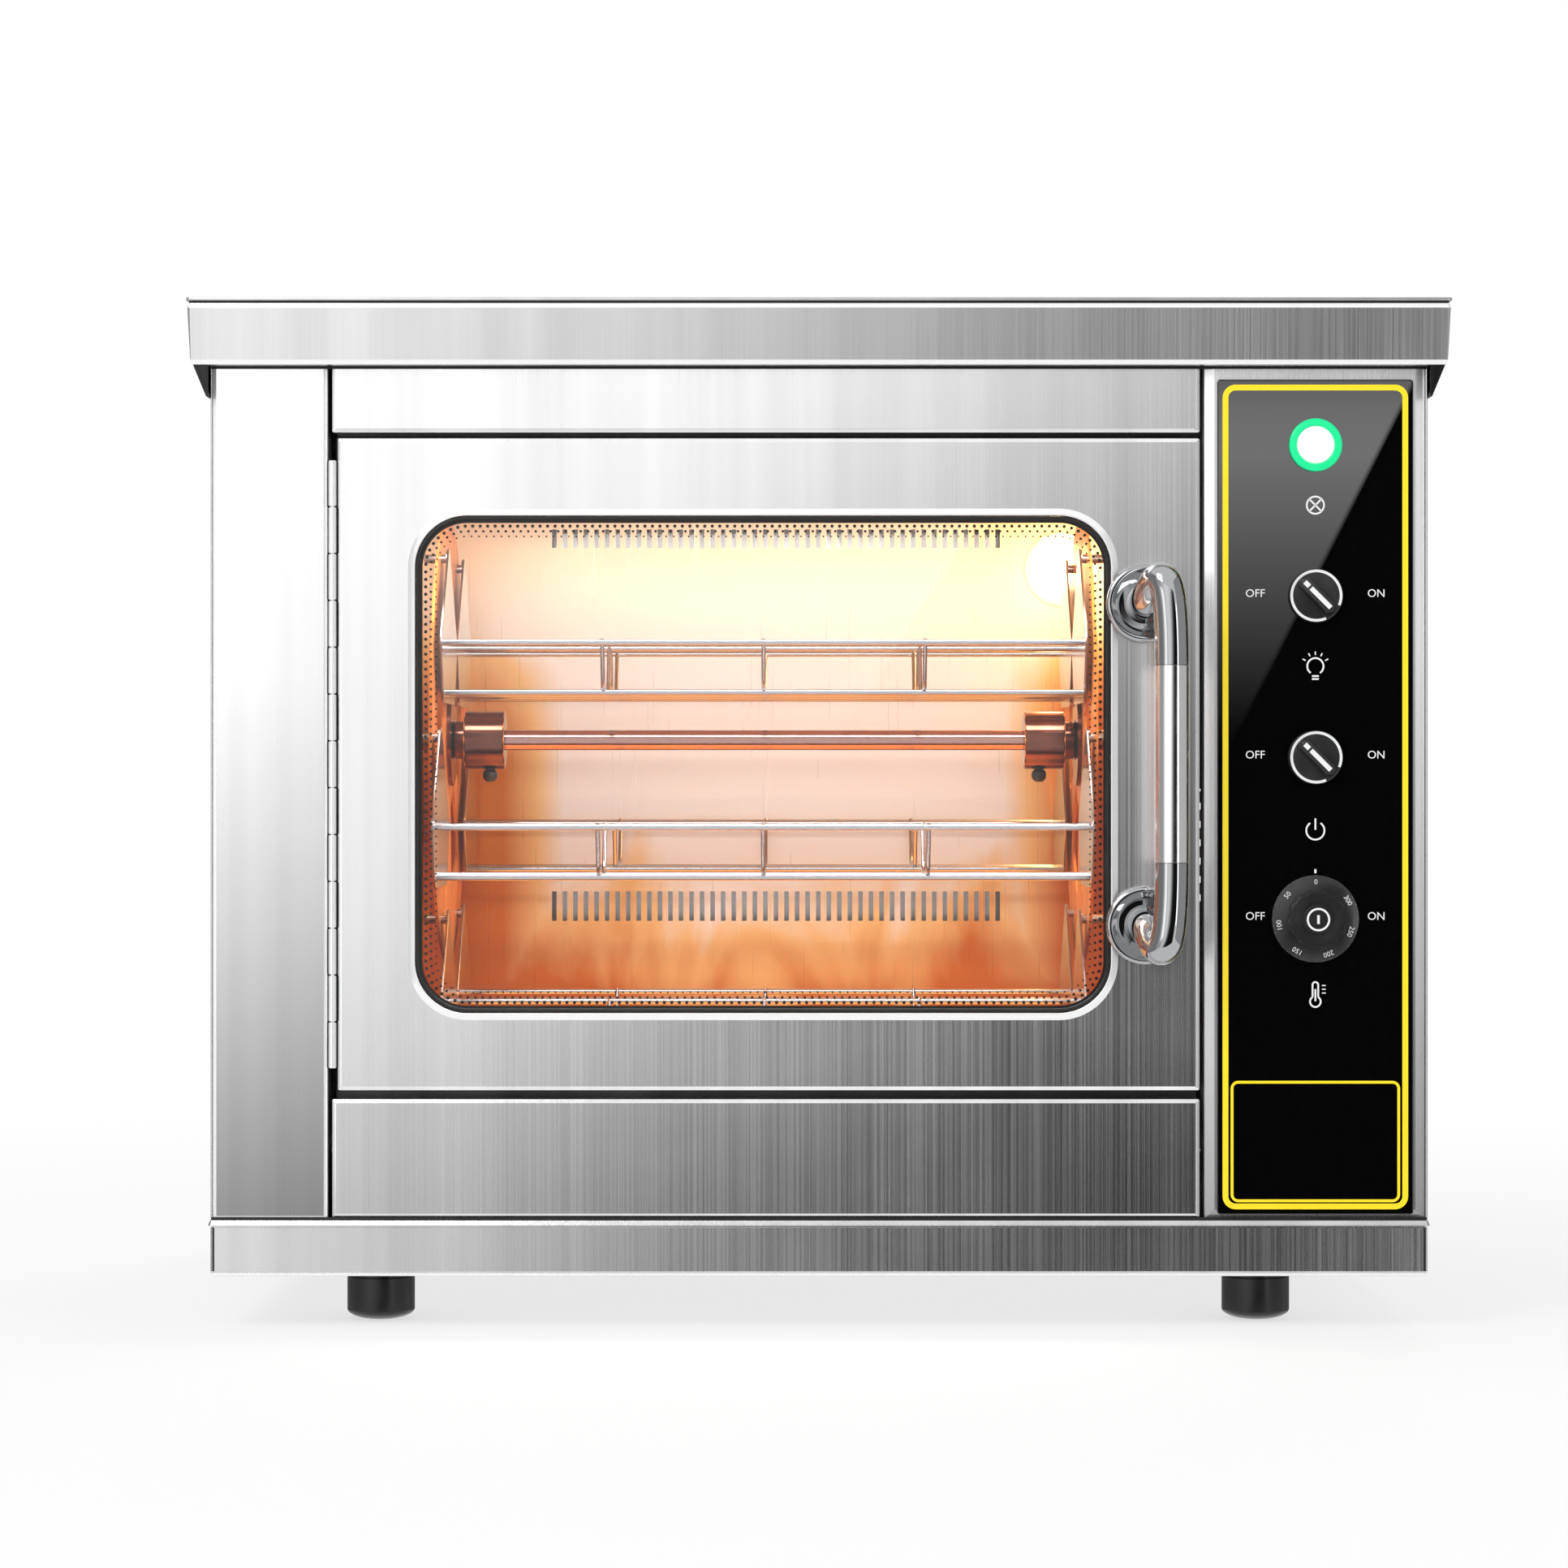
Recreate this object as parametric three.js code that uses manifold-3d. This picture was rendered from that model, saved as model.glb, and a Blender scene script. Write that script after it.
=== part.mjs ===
// Counter-top electric roaster: a stainless cabinet whose glazed door covers a turning wheel of six
// hanging wire baskets. Millimetres, +Z up, front towards -Y, origin on the floor under the middle.
import * as THREE from "three";
import { mergeVertices } from "three/addons/utils/BufferGeometryUtils.js";
import Module from "manifold-3d";

const wasm = await Module();
wasm.setup();

// Stock and fits
const sheet = 1.2; // folded stainless panels
const wire = 4; // basket rails
const thinWire = 3; // basket cross wires
const seat = 0.3; // gap where one piece rests on another
const running = 0.5; // radial gap round a turning pin
const overrun = 5; // how far a cutter passes a face
const mergeDistance = 0.001;

// Facets
const fineSides = 20; // rosettes, knobs and other round fronts
const roundSides = 16;
const hiddenSides = 12; // turned pieces inside the cabinet
const barSides = 8;
const rodSides = 6;
const wireSides = 4;
const cornerSteps = 3;
const arcDivisions = 2; // the curve classes take twice as many steps on an arc
const bendSteps = 3;
const discSides = 36;

// Baskets, the size that the whole cabinet grows from
const basketCount = 6;
const basketLength = 432;
const basketTopWidth = 124;
const basketGap = 18; // top rail of one basket to the next, where two pass side by side
const basketFloorWidth = 86;
const railDrop = 59; // pivot down to the top rails
const basketDrop = 92; // pivot down to the floor wires
const crossWires = 3;
const endPlate = 1.5;
const endPlateEdge = 7; // plate left round a pivot or a rail
const crossBendRadius = 9;

// Wheel
const pivotRadius = basketTopWidth + basketGap; // six pivots stand one radius apart
const pivotPin = 6;
const pinReach = 16; // pin length outside the end plate
const discThickness = 2;
const discRim = 14; // disc left outside the pivot circle
const discGap = 4; // end plate to disc
const shaftDiameter = 14;
const hubDiameter = 40;
const hubLength = 28;
const hubSleeve = 26;
const hubFlange = 64;
const hubFlangeThickness = 3;
const hubOffset = 8; // collar back from the flange
const windowInner = 48; // disc cut-outs, from the shaft centre
const windowOuter = 112;
const windowAngleShare = 0.66; // of the angle between pivots
const windowCorner = 9;

// Oven liner round the wheel
const sweepClearance = 12;
const floorClearance = 40; // tray and heaters under the baskets
const roofClearance = 30; // heaters above the wheel
const endClearance = 35; // basket end to side wall
const frameReveal = 10; // mouth inside the roof
const sillRise = 64; // mouth above the liner floor
const slotWidth = 9;
const slotPitch = 24;
const slotSpanShare = 0.72; // of the liner width
const returnSlotHeight = 22;
const returnSlotRiseShare = 0.31; // of the liner height
const airSlotHeight = 8;
const airSlotDrop = 42; // upper slots below the roof
const airRowPitch = 12;

// Spaces between liner and cabinet
const leftSpace = 103;
const rightSpace = 175;
const backSpace = 66;
const lowerSpace = 34;
const upperSpace = 51;

// Door
const doorDepth = 30;
const doorBackGap = 5;
const hingeGap = 6.6;
const latchGap = 3;
const doorTopGap = 3.6;
const doorBottomGap = 5.5;
const windowMarginLeft = 50;
const windowMarginRight = 57.3;
const windowMarginTop = 50;
const windowMarginBottom = 50;
const windowRadius = 33;
const trimWidth = 5;
const trimHeight = 2.2;
const gasketWidth = 3;
const gasketHeight = 1;
const glassThickness = 5;
const glassOverlap = 12;
const sealWidth = 8;
const sealInset = 6;
const catchWidth = 12;
const catchHeight = 50;
const catchThickness = 3;

// Piano hinge
const barrelDiameter = 5;
const hingePin = 2.4;
const knucklePitch = 30;
const knuckleGap = 0.8;
const leafThickness = 0.8;
const leafDepth = 26;

// Door handle
const handleReach = 52; // door face to the front of the grip
const gripDiameter = 22;
const gripLength = 125;
const rosetteSpacing = 206;
const rosetteDiameter = 50;
const rosetteHeight = 5;
const rosetteBoss = 32; // carries the rosette clear of the window bead
const rosetteInset = 35.5; // centre from the door's free edge
const gripShift = 14; // grip outside the rosettes
const elbowRise = 50; // height of the bend's upper handle point over the rosette
const elbowSteps = 7;
const elbowSides = 12;
const elbowPullShare = 0.9; // of the standoff

// Front panels
const leftColumnWidth = 73.5;
const controlColumnWidth = 141.5;
const columnReturn = 27;
const panelSideGap = 2;
const upperPanelHeight = 42.4;
const lowerPanelHeight = 76;
const panelReveal = 1.5;

// Top cover
const coverHeight = 43;
const coverOverhang = 14;
const coverBackOverhang = 6;
const coverPlate = 3;
const coverEdge = 0.8; // plate proud of its skirt
const coverLip = 9;
const corniceDrop = 20;

// Base pan and feet
const baseHeight = 36;
const baseLedge = 3.5;
const baseLedgeReach = 1.5;
const baseFlange = 14;
const footHeight = 34;
const footDiameter = 44;
const footFlat = 20;
const footDome = 8;
const footInsetX = 104;
const footInsetY = 60;

// Control panel, heights measured down from the top of the fascia
const fasciaThickness = 2;
const fasciaSideMargin = 8;
const fasciaTopMargin = 8.6;
const fasciaBottomMargin = 3.8;
const fasciaRadius = 2;
const indicatorDrop = 42;
const lightingDrop = 138.6;
const powerDrop = 242;
const thermostatDrop = 345.3;
const indicatorDiameter = 34;
const indicatorHeight = 3;
const lensDiameter = 24;
const lensHeight = 4;
const lensNeck = 18;
const lensDepth = 26;
const neckDiameter = 20;
const stemDiameter = 6;
const stemDepth = 16;
const switchWidth = 42;
const switchDepth = 38;
const knobDiameter = 35;
const knobBase = 5;
const knobChamfer = 1.5;
const knobBarLength = 30;
const knobBarWidth = 8;
const knobBarHeight = 9;
const offAngle = 45; // pointer left of upright, in degrees
const skirtDiameter = 56;
const skirtHeight = 3;
const dialDiameter = 38;
const dialHeight = 15;
const dialFlutes = 14;
const fluteShare = 0.06; // of the dial radius
const dialHub = 19;
const dialHubHeight = 2;
const thermostatWidth = 38;

// Heaters, tray, drive, lamp and cord gland
const heaterTube = 8;
const heaterRuns = 4;
const heaterRunGap = 88;
const heaterEndGap = 26;
const lowerHeaterRise = 24; // tube centre above the liner floor
const upperHeaterDrop = 14; // tube centre below the liner roof
const trayHeight = 14;
const trayMargin = 16;
const trayWall = 1;
const bearingDiameter = 44;
const bearingFlange = 4;
const bearingBoss = 26;
const bearingBossLength = 16;
const shaftHole = 20;
const couplingDiameter = 28;
const couplingLength = 24;
const driveShaft = 8; // gear motor's own output shaft
const bracketWidth = 110;
const bracketHeight = 90;
const bracketFoot = 14;
const gearboxSize = 68;
const gearboxLength = 46;
const motorDiameter = 58;
const motorLength = 48;
const lampDiameter = 42;
const lampFlange = 56;
const lampReach = 22;
const lampBody = 30;
const lampDepth = 30;
const lampSideInset = 30;
const lampDrop = 56;
const glandDiameter = 22;
const glandBore = 8;
const glandReach = 20;
const glandNut = 28;
const glandNutThickness = 5;
const glandInset = 60;
const glandRise = 42;

// Vents
const louvreRows = 7;
const louvreWidth = 70;
const louvreHeight = 12;
const louvreReach = 5;
const louvrePitch = 25;
const louvreRise = 120;
const ventRows = 7;
const ventWidth = 90;
const ventHeight = 5;
const ventPitch = 14;
const ventRise = 190;

// Places worked out from the sizes above
const half = (value) => value / 2;
const radians = THREE.MathUtils.degToRad;
const linerWidth = basketLength + 2 * endClearance;
const linerDepth = 2 * (pivotRadius + half(basketTopWidth + wire) + sweepClearance);
const discRadius = pivotRadius + discRim;
const sweepRadius = pivotRadius + basketDrop + half(wire);
const linerHeight = floorClearance + sweepRadius + discRadius + roofClearance;
const cabinetWidth = leftSpace + linerWidth + rightSpace;
const cabinetDepth = doorDepth + doorBackGap + linerDepth + backSpace;
const totalDepth = handleReach + cabinetDepth + glandReach;
const frontY = handleReach - half(totalDepth);
const backY = frontY + cabinetDepth;
const sideX = half(cabinetWidth);
const innerSideX = sideX - sheet - seat;

const baseTop = footHeight + baseHeight;
const linerFloor = baseTop + lowerSpace;
const linerRoof = linerFloor + linerHeight;
const shellTop = linerRoof + upperSpace;
const coverTop = shellTop + coverHeight;
const coverUnderside = coverTop - coverPlate;

const linerLeft = leftSpace - sideX;
const linerRight = linerLeft + linerWidth;
const frameFront = frontY + doorDepth + doorBackGap;
const panelReturn = frameFront - seat - frontY; // the cross panels are fastened to the liner frame
const linerFront = frameFront + sheet + seat;
const linerBack = linerFront + linerDepth;
const mouthBottom = linerFloor + sillRise;
const mouthTop = linerRoof - frameReveal;

const axisX = half(linerLeft + linerRight);
const axisY = half(linerFront + linerBack);
const axisZ = linerFloor + floorClearance + sweepRadius;
const discInner = half(basketLength) + discGap; // from the middle of the wheel

const columnLeft = -innerSideX;
const columnRight = columnLeft + leftColumnWidth;
const controlLeft = innerSideX - controlColumnWidth;
const doorLeft = columnRight + hingeGap;
const doorRight = controlLeft - latchGap;
const panelLeft = columnRight + panelSideGap;
const panelRight = controlLeft - panelSideGap;
const lowerPanelBottom = baseTop + panelReveal;
const lowerPanelTop = lowerPanelBottom + lowerPanelHeight;
const doorBottom = lowerPanelTop + doorBottomGap;
const upperPanelBottom = shellTop - upperPanelHeight;
const doorTop = upperPanelBottom - doorTopGap;
const doorMiddle = half(doorBottom + doorTop);
const doorBack = frontY + doorDepth;
const hingeX = half(columnRight + doorLeft);

const windowBox = {
  left: doorLeft + windowMarginLeft,
  right: doorRight - windowMarginRight,
  bottom: doorBottom + windowMarginBottom,
  top: doorTop - windowMarginTop,
  radius: windowRadius,
};

const fasciaFront = frontY - seat - fasciaThickness;
const fasciaLeft = controlLeft + fasciaSideMargin;
const fasciaRight = innerSideX - fasciaSideMargin;
const fasciaTop = shellTop - fasciaTopMargin;
const fasciaBottom = baseTop + fasciaBottomMargin;
const controlX = half(fasciaLeft + fasciaRight);

// Materials
const finish = (color, roughness, metalness) =>
  new THREE.MeshStandardMaterial({ color, roughness, metalness });
const brushed = finish(0xb9bbbd, 0.36, 1);
const polished = finish(0xd8dadc, 0.12, 1);
const linerSteel = finish(0xd9cdb8, 0.3, 0.9);
const galvanised = finish(0x9da1a4, 0.5, 0.9);
const castMetal = finish(0x5b5e61, 0.6, 0.7);
const glossBlack = finish(0x0b0b0d, 0.12, 0);
const mattBlack = finish(0x17181a, 0.6, 0);
const rubber = finish(0x121213, 0.8, 0);
const clearGlass = finish(0xcfd8d6, 0.05, 0);
const greenPlastic = finish(0x19b877, 0.3, 0);
const whitePlastic = finish(0xf4f7f4, 0.3, 0);
const ceramic = finish(0xe9e4d8, 0.6, 0);

// A closed geometry becomes a solid that can be joined and cut.
function solid(geometry) {
  const bare = geometry.clone();
  bare.deleteAttribute("normal");
  bare.deleteAttribute("uv");
  const merged = mergeVertices(bare, mergeDistance);
  const vertProperties = new Float32Array(merged.attributes.position.array);
  const triVerts = new Uint32Array(merged.index.array);
  return new wasm.Manifold(new wasm.Mesh({ numProp: 3, vertProperties, triVerts }));
}

function shapeOf(body) {
  const { vertProperties, triVerts } = body.getMesh();
  const geometry = new THREE.BufferGeometry();
  geometry.setAttribute("position", new THREE.BufferAttribute(new Float32Array(vertProperties), 3));
  geometry.setIndex(new THREE.BufferAttribute(new Uint32Array(triVerts), 1));
  return geometry;
}

const join = (geometries) => shapeOf(geometries.map(solid).reduce((whole, next) => whole.add(next)));

function cut(geometry, cutters) {
  return shapeOf(cutters.map(solid).reduce((whole, next) => whole.subtract(next), solid(geometry)));
}

function piece(name, geometry, material) {
  geometry.computeVertexNormals();
  const mesh = new THREE.Mesh(geometry, material);
  mesh.name = name;
  return mesh;
}

// A box between two corners.
function block([x0, y0, z0], [x1, y1, z1]) {
  const box = new THREE.BoxGeometry(x1 - x0, y1 - y0, z1 - z0);
  return box.translate(half(x0 + x1), half(y0 + y1), half(z0 + z1));
}

const extrude = (shape, depth) =>
  new THREE.ExtrudeGeometry(shape, { depth, bevelEnabled: false, curveSegments: arcDivisions });

// A flat outline drawn in X and Z, thickened backwards from a front plane.
function facing(shape, front, thickness) {
  return extrude(shape, thickness).rotateX(Math.PI / 2).translate(0, front + thickness, 0);
}

// A section drawn in Y and Z and carried along X.
function alongX(shape, from, to) {
  const turn = new THREE.Matrix4().makeBasis(
    new THREE.Vector3(0, 1, 0),
    new THREE.Vector3(0, 0, 1),
    new THREE.Vector3(1, 0, 0),
  );
  return extrude(shape, to - from).applyMatrix4(turn).translate(from, 0, 0);
}

// A section drawn in X and Y and carried up Z.
const alongZ = (shape, from, to) => extrude(shape, to - from).translate(0, 0, from);

const outline = (points) => new THREE.Shape(points.map(([x, y]) => new THREE.Vector2(x, y)));

function rectangle(left, right, bottom, top, Kind = THREE.Shape) {
  const corners = [[left, bottom], [right, bottom], [right, top], [left, top]];
  return new Kind(corners.map(([x, y]) => new THREE.Vector2(x, y)));
}

function roundedRectangle({ left, right, bottom, top, radius }, grow = 0, Kind = THREE.Shape) {
  const r = radius + grow;
  const path = new Kind();
  path.absarc(right - radius, top - radius, r, 0, Math.PI / 2, false);
  path.absarc(left + radius, top - radius, r, Math.PI / 2, Math.PI, false);
  path.absarc(left + radius, bottom + radius, r, Math.PI, 1.5 * Math.PI, false);
  path.absarc(right - radius, bottom + radius, r, 1.5 * Math.PI, 2 * Math.PI, false);
  return path;
}

function polygon(radius, sides, Kind = THREE.Shape, x = 0, y = 0) {
  const points = [];
  for (let i = 0; i < sides; i += 1) {
    const angle = (2 * Math.PI * i) / sides;
    points.push(new THREE.Vector2(x + radius * Math.cos(angle), y + radius * Math.sin(angle)));
  }
  return new Kind(points);
}

// A slot with blunted ends.
function obround(left, right, bottom, top) {
  const radius = half(top - bottom);
  const middle = half(bottom + top);
  const points = [[left, middle], [left + half(radius), bottom], [right - half(radius), bottom]];
  points.push([right, middle], [right - half(radius), top], [left + half(radius), top]);
  return new THREE.Path(points.map(([x, y]) => new THREE.Vector2(x, y)));
}

// A round bar between two points.
function bar(diameter, from, to, sides = rodSides) {
  const start = new THREE.Vector3(...from);
  const run = new THREE.Vector3(...to).sub(start);
  const rod = new THREE.CylinderGeometry(half(diameter), half(diameter), run.length(), sides);
  const axis = run.clone().normalize();
  const turn = new THREE.Quaternion().setFromUnitVectors(new THREE.Vector3(0, 1, 0), axis);
  return rod.applyQuaternion(turn).translate(...start.addScaledVector(run, 0.5).toArray());
}

// A turned profile of [radius, distance] pairs; the axis points along the given direction.
function turned(profile, place, direction, sides = roundSides) {
  const lathe = new THREE.LatheGeometry(profile.map(([r, h]) => new THREE.Vector2(r, h)), sides);
  const axis = new THREE.Vector3(...direction);
  const turn = new THREE.Quaternion().setFromUnitVectors(new THREE.Vector3(0, 1, 0), axis);
  return lathe.applyQuaternion(turn).translate(...place);
}

// Straight runs joined by round bends. A run takes one step and a bend takes a few.
class BentRoute extends THREE.Curve {
  constructor(corners, bendRadius, stepsPerBend = bendSteps) {
    super();
    this.stops = [];
    const points = corners.map((corner) => new THREE.Vector3(...corner));
    points.forEach((point, i) => {
      if (i === 0 || i === points.length - 1) {
        const towards = i === 0 ? points[1].clone().sub(point) : point.clone().sub(points[i - 1]);
        this.stops.push({ point, tangent: towards.normalize() });
      } else {
        this.addBend(points[i - 1], point, points[i + 1], bendRadius, stepsPerBend);
      }
    });
  }

  addBend(before, corner, after, radius, count) {
    const arriving = corner.clone().sub(before).normalize();
    const leaving = after.clone().sub(corner).normalize();
    const turn = arriving.angleTo(leaving);
    const start = corner.clone().addScaledVector(arriving, -radius * Math.tan(half(turn)));
    const side = leaving.clone().addScaledVector(arriving, -arriving.dot(leaving)).normalize();
    for (let i = 0; i <= count; i += 1) {
      const angle = (turn * i) / count;
      const point = start.clone().addScaledVector(arriving, radius * Math.sin(angle));
      point.addScaledVector(side, radius - radius * Math.cos(angle));
      const tangent = arriving.clone().multiplyScalar(Math.cos(angle));
      this.stops.push({ point, tangent: tangent.addScaledVector(side, Math.sin(angle)) });
    }
  }

  get steps() {
    return this.stops.length - 1;
  }

  getPointAt(share) {
    return this.stops[Math.round(share * this.steps)].point.clone();
  }

  getTangentAt(share) {
    return this.stops[Math.round(share * this.steps)].tangent.clone();
  }
}

function tube(route, diameter, sides, steps = route.steps) {
  const options = { extrudePath: route, steps, bevelEnabled: false };
  return new THREE.ExtrudeGeometry(polygon(half(diameter), sides), options);
}

// Feet and base

function foot(name, x, y) {
  const profile = [[0, 0], [half(footFlat), 0]];
  for (let i = 1; i <= cornerSteps; i += 1) {
    const angle = (half(Math.PI) * i) / cornerSteps;
    const radius = half(footFlat) + half(footDiameter - footFlat) * Math.sin(angle);
    profile.push([radius, footDome - footDome * Math.cos(angle)]);
  }
  profile.push([half(footDiameter), footHeight - seat], [0, footHeight - seat]);
  return piece(name, turned(profile, [x, y, 0], [0, 0, 1]), rubber);
}

function addFeet(group) {
  const across = sideX - footInsetX;
  const places = { front: frontY + footInsetY, rear: backY - footInsetY };
  Object.entries(places).forEach(([end, y]) => {
    group.add(foot(`left_${end}_foot`, -across, y), foot(`right_${end}_foot`, across, y));
  });
}

function basePan() {
  const tray = block([-sideX, frontY, footHeight], [sideX, backY, baseTop]);
  const reach = baseLedgeReach;
  const ledge = block(
    [-sideX - reach, frontY - reach, baseTop - baseLedge],
    [sideX + reach, backY, baseTop],
  );
  const hollow = block(
    [sheet - sideX, frontY + sheet, footHeight + sheet],
    [sideX - sheet, backY - sheet, baseTop - sheet],
  );
  const mouth = block(
    [baseFlange - sideX, frontY + baseFlange, half(footHeight + baseTop)],
    [sideX - baseFlange, backY - baseFlange, baseTop + overrun],
  );
  return piece("base_pan", cut(join([tray, ledge]), [hollow, mouth]), brushed);
}

// Outer shell

function topCover() {
  const skirtX = sideX + coverOverhang - coverEdge;
  const skirtFront = frontY - coverOverhang + coverEdge;
  const skirtBack = backY + coverBackOverhang - coverEdge;
  const plate = block(
    [-sideX - coverOverhang, frontY - coverOverhang, coverUnderside],
    [sideX + coverOverhang, backY + coverBackOverhang, coverTop],
  );
  const skirt = block(
    [-skirtX, skirtFront, shellTop],
    [skirtX, skirtBack, coverUnderside + half(coverPlate)],
  );
  const hollow = block(
    [sheet - skirtX, skirtFront + sheet, shellTop + sheet],
    [skirtX - sheet, skirtBack - sheet, coverUnderside],
  );
  const mouth = block(
    [-sideX - seat, skirtFront + coverLip, shellTop - overrun],
    [sideX + seat, backY + seat, shellTop + overrun],
  );
  const cover = cut(join([plate, skirt]), [hollow, mouth]);
  const cornices = [-1, 1].map((side) => cornice(side, skirtX, skirtFront));
  return piece("top_cover", join([cover, ...cornices]), brushed);
}

// The sloping sheet from the cover's lower edge down to the cabinet side.
function cornice(side, skirtX, skirtFront) {
  const inner = side * (sideX + seat);
  const outer = side * skirtX;
  const bottom = shellTop - corniceDrop;
  const section = outline([
    [inner, bottom],
    [inner + side * sheet, bottom],
    [outer, shellTop],
    [outer, shellTop + sheet],
    [outer - side * sheet, shellTop + sheet],
    [inner, bottom + sheet],
  ]);
  return facing(section, skirtFront, backY + coverBackOverhang - coverEdge - skirtFront);
}

function sidePanel(name, side) {
  const inner = side * (sideX - sheet);
  const outer = side * sideX;
  const panel = block(
    [Math.min(inner, outer), frontY + seat, baseTop + seat],
    [Math.max(inner, outer), backY - sheet - seat, coverUnderside - seat],
  );
  return piece(name, side > 0 ? withLouvres(panel) : panel, brushed);
}

// Pressed louvres over the control compartment: hoods open at their lower edge.
function withLouvres(panel) {
  const hoods = [];
  const slots = [];
  const from = backY - footInsetY - louvreWidth;
  const to = from + louvreWidth;
  for (let i = 0; i < louvreRows; i += 1) {
    const bottom = baseTop + louvreRise + i * louvrePitch;
    const top = bottom + louvreHeight;
    const hood = outline([
      [sideX - sheet, bottom],
      [sideX + louvreReach, bottom],
      [sideX, top],
      [sideX - sheet, top],
    ]);
    const slot = outline([
      [sideX - sheet - overrun, bottom - overrun],
      [sideX + louvreReach - sheet, bottom - overrun],
      [sideX + louvreReach - sheet, bottom],
      [sideX - sheet, top - sheet],
      [sideX - sheet - overrun, top - sheet],
    ]);
    hoods.push(facing(hood, from, louvreWidth));
    slots.push(facing(slot, from + sheet, louvreWidth - 2 * sheet));
  }
  const sill = baseTop + louvreRise;
  const lowest = block([sideX - sheet, from, sill - sheet], [sideX, to, sill]);
  const openings = slots.map(solid).reduce((whole, next) => whole.add(next));
  const plain = solid(panel);
  const raised = hoods.map(solid).reduce((whole, next) => whole.add(next));
  return shapeOf(plain.add(raised).subtract(openings).add(solid(lowest)));
}

function backPanel() {
  const shape = rectangle(-innerSideX, innerSideX, baseTop + seat, coverUnderside - seat);
  const ventMiddle = half(linerRight + innerSideX);
  for (let i = 0; i < ventRows; i += 1) {
    const bottom = baseTop + ventRise + i * ventPitch;
    const left = ventMiddle - half(ventWidth);
    shape.holes.push(obround(left, left + ventWidth, bottom, bottom + ventHeight));
  }
  const glandHole = half(glandDiameter) + seat;
  shape.holes.push(polygon(glandHole, roundSides, THREE.Path, glandX(), glandZ()));
  return piece("back_panel", facing(shape, backY - sheet, sheet), brushed);
}

const glandX = () => innerSideX - glandInset;
const glandZ = () => baseTop + glandRise;

function cableGland() {
  const outer = half(glandDiameter);
  const bore = half(glandBore);
  const reach = glandReach - seat;
  const profile = [
    [bore, -sheet - glandNutThickness],
    [outer, -sheet - glandNutThickness],
    [outer, seat],
    [half(glandNut), seat],
    [half(glandNut), seat + glandNutThickness],
    [outer, seat + glandNutThickness],
    [outer, reach - half(outer)],
    [half(outer) + bore, reach + seat],
    [bore, reach + seat],
    [bore, -sheet - glandNutThickness],
  ];
  const gland = turned(profile, [glandX(), backY, glandZ()], [0, 1, 0], hiddenSides);
  return piece("cable_gland", gland, mattBlack);
}

// Front panels

// A folded channel: a front face with returns running back from both of its edges.
function channel(low, high, depth) {
  return outline([
    [low, frontY],
    [high, frontY],
    [high, frontY + depth],
    [high - sheet, frontY + depth],
    [high - sheet, frontY + sheet],
    [low + sheet, frontY + sheet],
    [low + sheet, frontY + depth],
    [low, frontY + depth],
  ]);
}

function leftColumn() {
  const section = channel(columnLeft, columnRight, columnReturn);
  return piece("left_front_column", alongZ(section, baseTop + seat, coverUnderside - seat), brushed);
}

function controlColumn() {
  const section = channel(controlLeft, innerSideX, columnReturn);
  const column = alongZ(section, baseTop + seat, coverUnderside - seat);
  const holes = controlHoles().map(({ drop, diameter }) => {
    const z = fasciaTop - drop;
    return bar(diameter, [controlX, frontY - overrun, z], [controlX, frontY + overrun, z], roundSides);
  });
  return piece("control_column", cut(column, holes), brushed);
}

function controlHoles() {
  return [
    { drop: indicatorDrop, diameter: lensNeck + 2 * seat },
    { drop: lightingDrop, diameter: neckDiameter + 2 * seat },
    { drop: powerDrop, diameter: neckDiameter + 2 * seat },
    { drop: thermostatDrop, diameter: neckDiameter + 2 * seat },
  ];
}

// The channel's two edges lie above each other, so its section is drawn with Y and Z exchanged.
function crossPanel(name, bottom, top) {
  const points = channel(bottom, top, panelReturn).getPoints();
  const section = new THREE.Shape(points.map((point) => new THREE.Vector2(point.y, point.x)));
  return piece(name, alongX(section, panelLeft, panelRight), brushed);
}

// Controls

function fascia() {
  const edges = { left: fasciaLeft, right: fasciaRight, bottom: fasciaBottom, top: fasciaTop };
  const shape = roundedRectangle({ ...edges, radius: fasciaRadius });
  controlHoles().forEach(({ drop, diameter }) => {
    const [inner, sides] = drop === indicatorDrop
      ? [diameter, roundSides]
      : [stemDiameter + 2 * running, barSides];
    shape.holes.push(polygon(half(inner), sides, THREE.Path, controlX, fasciaTop - drop));
  });
  return piece("control_fascia", facing(shape, fasciaFront, fasciaThickness), glossBlack);
}

function addIndicator(group) {
  const place = [controlX, fasciaFront - seat, fasciaTop - indicatorDrop];
  const outer = half(indicatorDiameter);
  const inner = half(lensDiameter) + seat;
  const chamfer = half(indicatorHeight);
  const ring = [
    [inner, 0],
    [outer, 0],
    [outer, chamfer],
    [outer - chamfer, indicatorHeight],
    [inner, indicatorHeight],
    [inner, 0],
  ];
  const lens = [
    [0, -lensDepth],
    [half(lensNeck), -lensDepth],
    [half(lensNeck), 0],
    [half(lensDiameter), 0],
    [half(lensDiameter), half(lensHeight)],
    [half(lensNeck), lensHeight],
    [0, lensHeight],
  ];
  group.add(piece("indicator_bezel", turned(ring, place, [0, -1, 0], fineSides), greenPlastic));
  group.add(piece("indicator_lens", turned(lens, place, [0, -1, 0], fineSides), whitePlastic));
}

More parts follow.
